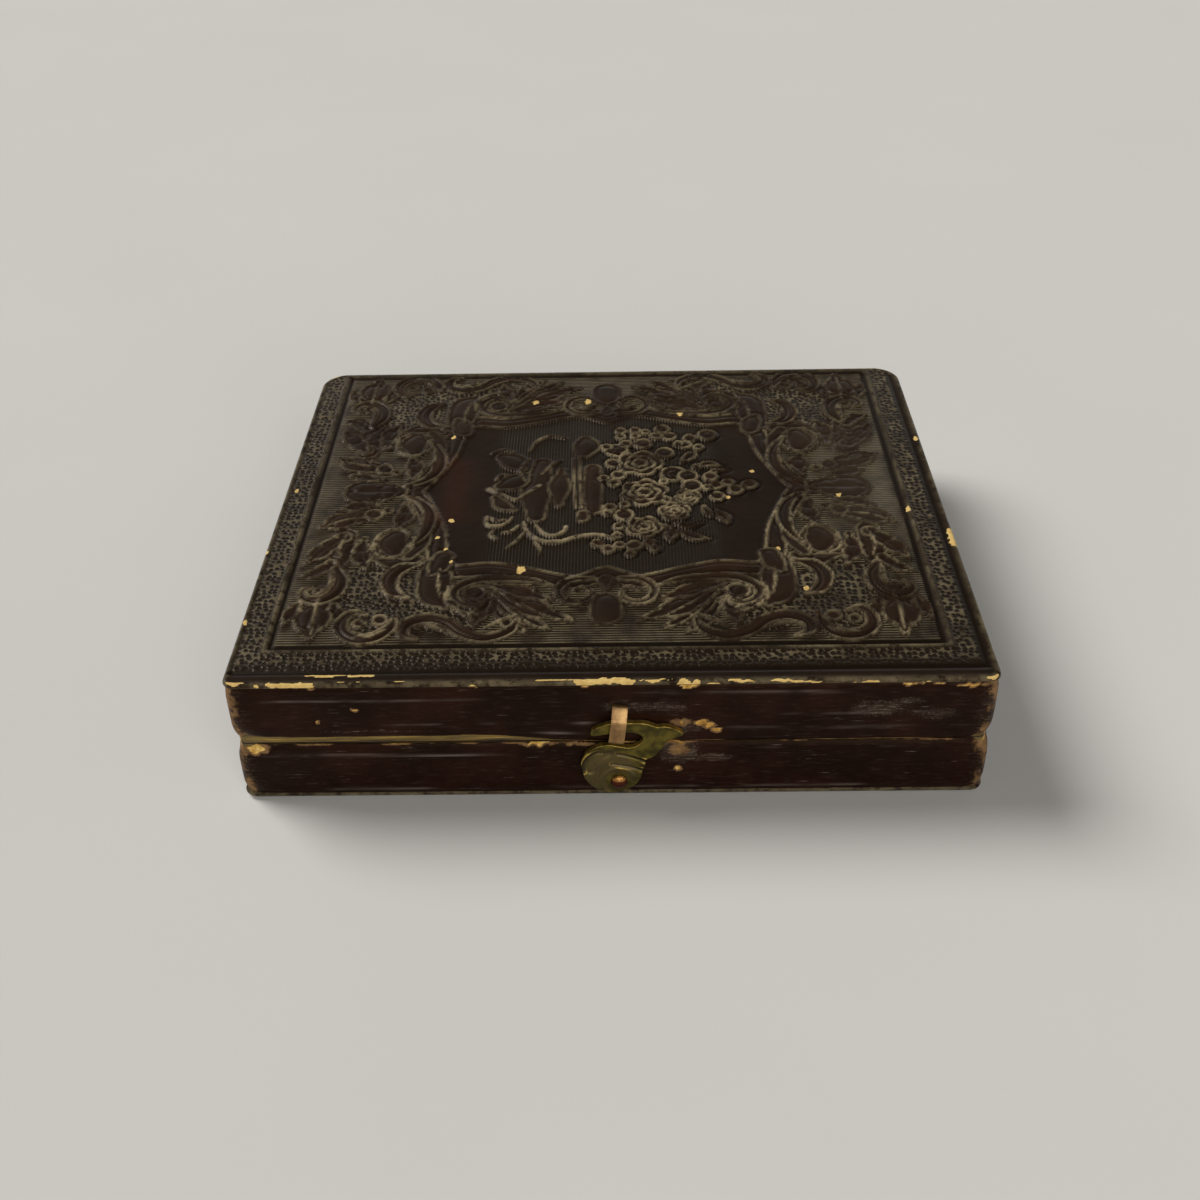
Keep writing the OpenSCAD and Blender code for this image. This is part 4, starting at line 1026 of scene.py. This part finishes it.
def side_leather(name, node, body, marks, creases, seed):
    """The band round front and ends: wavy, creased, rounded at its rims, worn at rims and corners."""
    low, high = box_mm(node)
    obj, s, z = strip(name, 0, SIDE_RUN, low[2], high[2])
    x = s - FRONT_START
    lid = body == "lid"
    from_top, from_low = high[2] - z, z - low[2]
    seam, cover_side = (from_low, from_top) if lid else (from_top, from_low)
    corner = bump(np.abs(x), FRONT_X + FRONT_ARC / 2, 2.1)
    front = smooth(CASE_HALF_W - np.abs(x), 0, 3)
    # Wavy all over, drawn in at both rims and worn round at the corners
    wander = noise(s, z, 9, seed) - 0.5
    ragged = noise(s, z, 1.1, seed + 1)
    out = 0.16 * wander + 0.05 * (noise(s, z * 3, 1.6, seed + 2) - 0.5)
    out -= 0.35 * bump(seam, 0, 0.38) + 0.3 * bump(cover_side, 0, 0.3)
    out -= 0.75 * corner * bump(seam, 0, 1.5) * (0.6 + 0.8 * ragged)
    out -= 0.3 * corner * bump(cover_side, 0, 1.2)
    # Creases: a ridge beside a furrow, with a painted highlight line along it that breaks off here and there
    line = np.zeros(len(s))
    for at, deep, start, end in creases:
        reach = smooth(x, start, start + 6) * (1 - smooth(x, end - 6, end))
        wave = z - at - 0.25 * (noise(x, x * 0, 8, seed + 3) - 0.5)
        out += deep * reach * (bump(wave, 0.14, 0.12) - bump(wave, -0.1, 0.12))
        broken = smooth(noise(x, z * 3, 5, seed + 7), 0.3, 0.75)
        line = np.maximum(line, min(deep * 6, 0.5) * reach * broken * bump(wave, 0.16, 0.13))
    # Wear at the corners, along the seam and under the cover
    wear = corner * (0.1 + 0.5 * ragged + 0.25 * bump(seam, 0.5, 1.5) + 0.2 * bump(cover_side, 0, 1.6))
    frayed = 0.1 + 0.6 * smooth(noise(x, x * 0, 3, seed + 6), 0.3, 0.8)
    wear = np.maximum(wear, bump(seam, 0, 0.22) * frayed)
    scuff = 0.35 * corner + 0.25 * noise(s, z, 5, seed + 4)
    if lid:
        wear = np.maximum(wear, 0.75 * front_wear(x, z) * front)
    wear = np.maximum(wear, bump(cover_side, 0, 0.35) * 0.55 * ragged)
    # Single marks, their outlines torn by noise
    bent_x = x + 1.1 * (noise(x, z, 0.9, seed + 8) - 0.5)
    bent_z = z + 0.8 * (noise(x, z, 0.9, seed + 9) - 0.5)
    for mx, mz, rx, rz, strength, kind in marks:
        mark = strength * spot(bent_x, bent_z, mx, mz, rx, rz) * (0.7 + 0.6 * ragged)
        if kind == "wear":
            wear = np.maximum(wear, mark)
            out -= 0.12 * smooth(mark, 0.4, 0.7)
        elif kind == "line":
            # A line mark leaves a short pale streak of painted highlight
            line = np.maximum(line, 0.8 * strength * spot(x, z, mx, mz, rx, rz))
        else:
            scuff = np.maximum(scuff, mark)
    # The strip torn from the lid's lower rim at the left, and the bulge round the keeper's upper end
    if lid:
        gone = smooth(x, -47, -45.5) * (1 - smooth(x, -17, -2))
        gone *= 0.95 + 0.3 * noise(x, x * 0, 3.5, seed + 5)
        z = z + (1.05 * gone + 0.25 * corner * smooth(-x, 0, 5)) * np.clip(1 - from_low / 3, 0, 1)
        burr = np.hypot((x - KEEPER_ROOT[0]) / 1.25, (z - KEEPER_ROOT[1]) / 0.6)
        out += 0.16 * bump(burr, 1.15, 0.3) - 0.3 * bump(burr, 0, 0.75)
    wrap(obj, s, z, out)
    paint(obj, wear=wear, scuff=scuff, line=line)
    leather_band(obj, BAND_T, body, [node])


def bend_at_hinge(obj):
    """Bakes a strip's placement into its mesh."""
    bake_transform(obj)


def spine():
    """The outer hinge: one strip of leather over both halves, creased where it folds."""
    low, high = box_mm("spine_leather_base")[0], box_mm("spine_leather_lid")[1]
    obj, s, z = strip("spine_leather", SIDE_RUN, BACK_RUN, low[2], high[2])
    run = s - SIDE_RUN - BACK_RUN / 2
    fold = z - HINGE_Z
    ragged = noise(s, z, 1.1, 61)
    out = 0.14 * (noise(s, z, 8, 62) - 0.5)
    out -= 0.16 * bump(fold, 0, 0.5)
    out += 0.05 * (bump(fold, 0.9, 0.3) + bump(fold, -0.9, 0.3))
    out -= 0.3 * bump(z, low[2], 0.35) + 0.3 * bump(z, high[2], 0.35)
    out += 0.03 * np.sin(run * 7 + 2 * noise(s, z, 3, 63)) * bump(fold, 0, 1.2)
    corner = bump(np.abs(run), BACK_X + BACK_ARC / 2, 2.4)
    wear = corner * (0.1 + 0.5 * ragged) + 0.45 * bump(fold, 0, 0.8) * noise(s, z, 2.5, 64)
    wear = np.maximum(wear, (bump(z, low[2], 0.4) + bump(z, high[2], 0.45)) * (0.2 + 0.5 * ragged))
    wrap(obj, s, z, out)
    paint(obj, wear=wear, scuff=0.3 * corner + 0.5 * bump(fold, 0, 1.6) * ragged)
    leather_band(obj, SPINE_T, None, ["spine_leather_base", "spine_leather_lid"])
    bend_at_hinge(obj)


def inner_hinge():
    """Thin leather across the inside of the hinge, folded shut between the two rims."""
    base_low, base_high = box_mm("inner_hinge_base")
    lid_low, lid_high = box_mm("inner_hinge_lid")
    middle = [(base_low[2] + base_high[2]) / 2, (lid_low[2] + lid_high[2]) / 2]
    half = (middle[1] - middle[0]) / 2
    fold_y = base_high[1] - half - 0.05
    obj, p = grid("inner_hinge", 120, 30)
    share = (p[:, 1] + 1) / 2
    flat_run = fold_y - base_low[1]
    run = share * (2 * flat_run + math.pi * half)
    turn = np.clip((run - flat_run) / half, 0, math.pi)
    y = base_low[1] + np.minimum(run, flat_run) - np.maximum(run - flat_run - math.pi * half, 0)
    y += half * np.sin(turn)
    z = HINGE_Z - half * np.cos(turn)
    place(obj, np.column_stack([p[:, 0] * base_high[0], y, z]))
    modify(obj, "SOLIDIFY", thickness=INNER_HINGE_T * MM, offset=0)
    dress(obj, HINGE_LEATHER, None, ["inner_hinge_base", "inner_hinge_lid"])
    bend_at_hinge(obj)


# Inside the tray

def rounded(half_x, half_y, radius, arc=8):
    """Points round a rectangle with round corners, in order."""
    points = []
    for corner, (side_x, side_y) in enumerate([(1, 1), (-1, 1), (-1, -1), (1, -1)]):
        turn = np.radians(90 * (corner + np.arange(arc + 1) / arc))
        points.append(np.column_stack([(half_x - radius) * side_x + radius * np.cos(turn),
                                       (half_y - radius) * side_y + radius * np.sin(turn)]))
    return np.vstack(points)


def ringed(name, rings, closed=False):
    """A piece swept through rings, each as its points and height, joined one to the next."""
    rings = rings + rings[:int(closed)]
    count = len(rings[0][0])
    obj = primitive(name, bpy.ops.mesh.primitive_circle_add, vertices=count, radius=1)
    with editing(obj):
        bpy.ops.mesh.select_mode(type="EDGE")
        for _ in rings[1:]:
            bpy.ops.mesh.extrude_edges_move()
    place(obj, np.vstack([np.column_stack([points, np.full(count, z)]) for points, z in rings]))
    if closed:
        with editing(obj):
            bpy.ops.mesh.remove_doubles(threshold=0.001 * MM)
    return obj


def velvet_retainer():
    """Card strip wrapped in velvet round the glazed plate, its top rounded."""
    low, high = box_mm("velvet_retainer")
    width, round_off, play, radius = 0.98, 0.4, 0.02, 0.8
    rings = [(rounded(*high[:2] - play, radius), low[2])]
    for degrees in range(0, 181, 20):
        inset = play + width / 2 * (1 - math.cos(math.radians(degrees)))
        z = high[2] - round_off * (1 - math.sin(math.radians(degrees)))
        rings.append((rounded(*high[:2] - inset, max(radius - inset * 0.5, 0.2)), z))
    rings.append((rounded(*high[:2] - play - width, 0.3), low[2]))
    obj = ringed("velvet_retainer_strip", rings, closed=True)
    dress(obj, VELVET, "tray", ["velvet_retainer"], sharp=60)


# The preserver's section from its turned-down edge inwards: distance in from the outside, and depth
# below its top
PRESERVER_SECTION = [
    (0.03, 2.9), (0.03, 0.75), (0.12, 0.42), (0.3, 0.22), (0.5, 0.2), (0.7, 0.1), (0.95, 0.14), (1.1, 0.06),
    (1.3, 0.02), (1.5, 0.06), (1.65, 0.16), (1.9, 0.18), (2.6, 0.18), (2.8, 0.1), (3.0, 0.05), (3.2, 0.1),
    (3.35, 0.18), (3.6, 0.2), (3.85, 0.1), (4.0, 0.06), (4.15, 0.14), (4.2, 0.24),
]


def preserver():
    """Thin brass frame: a ridged face turned down round the package's edges."""
    low, high = box_mm("preserver")
    rings = []
    for inset, depth in PRESERVER_SECTION:
        radius = max(1.1 - inset, 0.2) if inset < 2 else 0.2 + (inset - 2) * 1.1
        rings.append((rounded(*high[:2] - inset, radius), high[2] - min(depth, high[2] - low[2])))
    obj = ringed("preserver_frame", rings)
    face_out(obj)
    modify(obj, "SOLIDIFY", thickness=PRESERVER_T * MM, offset=-1)
    dress(obj, THIN_BRASS, "tray", ["preserver"], sharp=50)


def brass_mat():
    """Brass mat: pebbled face with a bevelled, bright oval opening."""
    low, high = box_mm("brass_mat")
    turn = np.radians(np.arange(128) * 360 / 128)
    circle = np.column_stack([np.cos(turn), np.sin(turn)])
    top = high[2] - 0.02
    rings = [(circle * (OVAL_X + grow, OVAL_Y + grow), z)
             for grow, z in ((0, low[2] + 0.02), (0.5, top - 0.05), (0.75, top), (1.4, top))]
    reach = np.max(np.abs(circle) / high[:2], axis=1)[:, None]
    rings.append((circle / reach * 0.998, top))
    obj = ringed("oval_brass_mat", rings)
    modify(obj, "SOLIDIFY", thickness=MAT_T * MM, offset=-1)
    dress(obj, MAT_BRASS, "tray", ["brass_mat"], sharp=40)


# The pad

PAD_GROW = 10
PAD_FRAMES = 20
# Room that the pad keeps for its crown, and how far the crown and the cloth's own unevenness use it
PAD_ROOM, PAD_CROWN, PAD_UNEVEN = 2.6, 2.2, 0.5
# How far the middles of the sides are drawn in
PAD_DRAWN = 0.6
PAD_EDGE, PAD_VOXEL = 1.2, 1.3


def stuffed(obj, glued_from):
    """Blows the pad up by cloth simulation, held where it is glued: all points at least this high."""
    glued = obj.vertex_groups.new(name="glued")
    glued.add([i for i, z in enumerate(points_of(obj)[:, 2]) if z > glued_from], 1.0, "REPLACE")
    cloth = obj.modifiers.new("stuffing", "CLOTH")
    cloth.settings.use_pressure = True
    cloth.settings.uniform_pressure_force = 4
    cloth.settings.effector_weights.gravity = 0
    cloth.settings.vertex_group_mass = "glued"
    cloth.point_cache.frame_start = 1
    cloth.point_cache.frame_end = PAD_FRAMES
    for frame_number in range(1, PAD_FRAMES + 1):
        scene.frame_set(frame_number)
    only(obj)
    bpy.ops.object.modifier_apply(modifier="stuffing")
    scene.frame_set(1)


def velvet_pad():
    """Crowned velvet pad glued to its card: stuffed by cloth simulation at ten times its size."""
    low, high = box_mm("velvet_pad")
    half = (high - low) / 2
    middle = (high + low) / 2
    obj = primitive("lid_velvet_pad", bpy.ops.mesh.primitive_cube_add, size=2)
    p = points_of(obj) * MM
    side_h = high[2] - low[2] - PAD_ROOM
    place(obj, p * (half[0] - 0.3, half[1] - 0.3, side_h / 2) * PAD_GROW)
    with editing(obj):
        bpy.ops.mesh.bevel(offset=PAD_EDGE * PAD_GROW * MM, segments=4)
    obj.data.remesh_voxel_size = PAD_VOXEL * PAD_GROW * MM
    bpy.ops.object.voxel_remesh()
    before = points_of(obj)
    stuffed(obj, side_h * PAD_GROW * 0.3)
    # The cloth gives the unevenness; the crown and the drawn-in sides are laid over it
    lifted = points_of(obj)[:, 2] - before[:, 2]
    face = before[:, 2] < 0
    share_x, share_y = (np.abs(before[:, :2]) / (half[:2] * PAD_GROW)).T
    crown = (np.clip(1 - share_x**4, 0, 1) * np.clip(1 - share_y**4, 0, 1)) ** 0.7
    uneven = lifted / max(np.abs(lifted).max(), 1e-6)
    drawn = PAD_DRAWN * (np.clip(1 - share_y**2, 0, 1) * (share_x > share_y)
                         + np.clip(1 - share_x**2, 0, 1) * (share_x <= share_y))
    p = before / PAD_GROW
    edge_pull = 1 - drawn * smooth(np.maximum(share_x, share_y), 0.85, 1) / half[0]
    p[:, :2] *= edge_pull[:, None]
    p[:, 2] -= np.where(face, crown, 0) * PAD_CROWN
    p[:, 2] += np.where(face, uneven * PAD_UNEVEN, 0)
    p[:, 2] += middle[2] + PAD_ROOM / 2
    p[:, :2] += middle[:2]
    p[:, 2] = np.clip(p[:, 2], low[2], high[2])
    place(obj, p)
    modify(obj, "SUBSURF", levels=1, render_levels=1)
    dress(obj, VELVET, "lid", ["velvet_pad"])


# Clasp

# The hook's outline round its pin, seen from the front
HOOK_FINGER = [(-3.5, 7.75), (-3.3, 8.45), (-2.25, 9.15), (-0.8, 9.6), (2.9, 9.6), (4.1, 9.25), (4.85, 8.95)]
HOOK_LEAF = [(5.6, 9.05), (6.7, 8.75), (8.05, 7.85), (7.25, 7.25), (6.05, 6.65)]
HOOK_HEEL = [(5.4, 5.4), (4.4, 4.1), (3.4, 3.55), (3.35, 2.7)]
HOOK_LOBE = [(-0.8 + 3.8 * math.cos(math.radians(a)), 1.9 + 3.8 * math.sin(math.radians(a)))
             for a in range(0, -181, -20)]
HOOK_NECK = [(-4.75, 3.2), (-4.1, 4.6), (-2.9, 5.65), (-1.4, 6.1), (0.1, 5.8), (1.4, 5.6)]
HOOK_SLOT = [(2.4, 6.05), (3.05, 7), (2.6, 7.8), (1.6, 8.1), (0.5, 8.05), (-1.3, 7.9), (-2.7, 7.65)]
# Lines cut into the hook's face and the scroll stepped down in it: points and widths
HOOK_CUTS = [([(-4.45, 1.6), (-4.4, 2.6), (-3.95, 3.8), (-3.1, 4.6), (-2.4, 4.8)], 0.36),
             ([(-0.1, 4.5), (1.5, 4.1), (3.2, 3.4)], 0.36), ([(-0.8, 2.9), (1, 2.5), (2.8, 1.9)], 0.34)]
HOOK_STEP = ([(-3.6, 1.9), (-2.7, 3.9), (-1.2, 4.6)], (1.5, 1.6, 1.0))
HOOK_BORE_R, HOOK_GROOVE_R = 0.68, 2.15
# Middle and size of the grained patch on the lobe
HOOK_MATT = (-1.2, 1.7, 3.9)
HOOK_GROW = 10
HOOK_VOXEL = 0.085


def hook_blank(line, thickness):
    """The hook's outline and bore cut from plate, its edges worn round, ten times as large."""
    obj = primitive("brass_hook", bpy.ops.mesh.primitive_circle_add, vertices=len(line), radius=1)
    with editing(obj):
        bpy.ops.mesh.primitive_circle_add(vertices=32, radius=HOOK_BORE_R * HOOK_GROW * MM)
    p = points_of(obj)
    p[:len(line), :2] = line * HOOK_GROW
    place(obj, p)
    with editing(obj):
        bpy.ops.mesh.fill(use_beauty=True)
        up = {"value": (0, 0, thickness * HOOK_GROW * MM)}
        bpy.ops.mesh.extrude_region_move(TRANSFORM_OT_translate=up)
    face_out(obj)
    obj.data.remesh_voxel_size = HOOK_VOXEL * HOOK_GROW * MM
    bpy.ops.object.voxel_remesh()
    modify(obj, "SMOOTH", factor=0.5, iterations=4)
    return obj


def hook():
    """The brass hook, with a groove round its pin, cut lines and a stepped scroll in its face."""
    ring = HOOK_FINGER + HOOK_LEAF + HOOK_HEEL + HOOK_LOBE + HOOK_NECK + HOOK_SLOT
    closed = np.array(ring + ring[:2])
    steps = 4
    low, high = box_mm("hook")
    thickness = high[1] - low[1]
    # Flat in millimetres round its pin until it is placed, its face up
    obj = hook_blank(through(closed, (1,), steps)[0][:len(ring) * steps], thickness)
    p = points_of(obj) / HOOK_GROW
    face = smooth(p[:, 2], thickness * 0.6, thickness * 0.9)
    flat = p[:, :2]
    hollow = np.zeros(len(p))
    lip = np.zeros(len(p))
    for points, width in HOOK_CUTS:
        depth = measure(flat, points, (width,) * 3)[0]
        hollow = np.maximum(hollow, smooth(depth, -0.12, 0.1))
        lip = np.maximum(lip, bump(depth, -0.22, 0.14))
    dist = np.hypot(flat[:, 0], flat[:, 1])
    groove = bump(dist, HOOK_GROOVE_R, 0.22)
    rim = bump(measure(flat, closed[:-1], (0.1,))[0], -0.15, 0.3)
    step = 0.16 * smooth(measure(flat, *HOOK_STEP)[0], -0.1, 0.3)
    p[:, 2] += face * (0.1 * groove - 0.16 * hollow - step)
    # Rims that face up are lighter: a painted highlight laid over the rubbing
    normals = np.empty(len(p) * 3)
    obj.data.vertices.foreach_get("normal", normals)
    highlight_facing_up = smooth(normals.reshape(-1, 3)[:, 1], -0.1, 0.7)
    speckle = 0.4 + noise(flat[:, 0], flat[:, 1], 1.5, 71)
    matt_x, matt_y, matt_r = HOOK_MATT
    matt = smooth(matt_r - np.hypot(flat[:, 0] - matt_x, flat[:, 1] - matt_y), 0, 1)
    paint(obj, hollow=face * hollow,
          bright=(np.clip(rim, 0, 1) * (0.25 + 0.75 * highlight_facing_up) + face * (0.25 * groove + 0.5 * lip)) * speckle,
          matt=face * matt * smooth(dist, 1.2, 2))
    place(obj, np.column_stack([HOOK_PIN[0] + p[:, 0], high[1] - p[:, 2], HOOK_PIN[1] + p[:, 1]]))
    dress(obj, HOOK_BRASS, "hook", ["hook"])


# The keeper's strip from inside the lid, out over the hook and back in: distance behind the case's face and
# height above the hook's pin
KEEPER_PATH = [(2.4, 10.6), (0.4, 11.35), (-0.15, 11.7), (-1.1, 10.6), (-1.42, 10.15), (-1.54, 9.5),
               (-1.64, 7.7), (-1.56, 7.15), (-1.2, 6.95), (0, 6.9), (2.4, 7.25)]
KEEPER_T, KEEPER_W = 0.4, 1.9
# Its middle to the left of the pin, and how far its upper end leans to the right, in degrees
KEEPER_LEFT, KEEPER_LEAN = 1.1, 6.5


def keeper():
    """The strip keeper: one thin strip bent out of the lid, down over the hook and back in."""
    run = through(KEEPER_PATH, (1,), 4)[0]
    obj, p = grid("strip_keeper", len(run) - 1, 6)
    index = np.rint((p[:, 0] + 1) / 2 * (len(run) - 1)).astype(int)
    lean = math.radians(KEEPER_LEAN)
    side = p[:, 1] * KEEPER_W / 2 - KEEPER_LEFT
    depth, z = run[index].T
    crown = 0.05 * (1 - p[:, 1] ** 2) * (1 - 0.06 * smooth(np.abs(p[:, 1]), 0.8, 1))
    place(obj, np.column_stack([HOOK_PIN[0] + side * math.cos(lean) + z * math.sin(lean),
                                depth - CASE_HALF_D - crown,
                                HOOK_PIN[1] - side * math.sin(lean) + z * math.cos(lean)]))
    modify(obj, "SOLIDIFY", thickness=KEEPER_T * MM, offset=0)
    face_out(obj)
    modify(obj, "BEVEL", width=0.08 * MM, segments=3, limit_method="ANGLE", angle_limit=math.radians(50))
    dress(obj, KEEPER_BRASS, "lid", ["keeper"], sharp=40)


# Everything that stays as the frame has it gets its finish

NODE_FINISH = [
    (WOOD_X, "base_board base_front_rail base_back_rail lid_board lid_front_rail lid_back_rail"),
    (WOOD_Y, "base_left_rail base_right_rail lid_left_rail lid_right_rail"),
    (LINING, "floor_lining"), (CARD, "packing_card pad_card"), (SILVER, "image_plate"),
    (GLASS, "cover_glass"), (TAPE, "binding_tape"), (COPPER, "hook_pin"),
]


def dress_nodes():
    for material, names in NODE_FINISH:
        for name in names.split():
            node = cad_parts[name]
            node.data.materials.clear()
            node.data.materials.append(material)


# Floor and light

PALE = "#d6d3cd"


def floor():
    """A plain pale table, wide enough to reach the horizon in every view."""
    obj = primitive("pale_floor", bpy.ops.mesh.primitive_plane_add, size=60)
    m, at = begin("pale_painted_board")
    colour = add(m, "Blend", add(m, "TexNoise", at, per(60)), PALE, "#dad7d1")
    obj.data.materials.append(shaded(m, Base_Color=colour, Roughness=0.9, Specular_IOR_Level=0.2))


def sun(name, toward, strength, spread):
    """A broad soft light from one side, equal everywhere. It stands toward this direction."""
    data = bpy.data.lights.new(name, "SUN")
    data.energy = strength
    data.angle = math.radians(spread)
    obj = bpy.data.objects.new(name, data)
    obj.rotation_euler = Vector(toward).to_track_quat("Z", "Y").to_euler()
    scene.collection.objects.link(obj)


def room():
    """Dim overhead, pale near the horizon like the floor, so that low views end in a pale wall."""
    world = bpy.data.worlds.new("studio")
    world.use_nodes = True
    world.node_tree.nodes.clear()
    up = add(world, "SeparateXYZ", add(world, "TexCoord", out="Generated"), out="Z")
    wall = add(world, "Step", up, 0.4, 0.2)
    shade = add(world, "Blend", wall, "#3c3b39", PALE)
    add(world, "OutputWorld", Surface=add(world, "Background", shade))
    scene.world = world


cover("stamped_lid_cover", "lid_top_leather", "lid", seed=1)
cover("stamped_base_cover", "base_bottom_leather", "tray", seed=21)
side_leather("lid_side_leather", "lid_edge_leather", "lid", LID_MARKS, LID_CREASES, seed=31)
side_leather("base_side_leather", "base_edge_leather", "tray", BASE_MARKS, BASE_CREASES, seed=51)
spine()
inner_hinge()
velvet_retainer()
preserver()
brass_mat()
velvet_pad()
hook()
keeper()
dress_nodes()
floor()
room()
sun("raking_light", toward=(-0.62, 0.34, 0.72), strength=2.4, spread=32)
sun("front_light", toward=(0.2, -0.8, 0.5), strength=1.3, spread=50)
scene.view_settings.view_transform = "Standard"
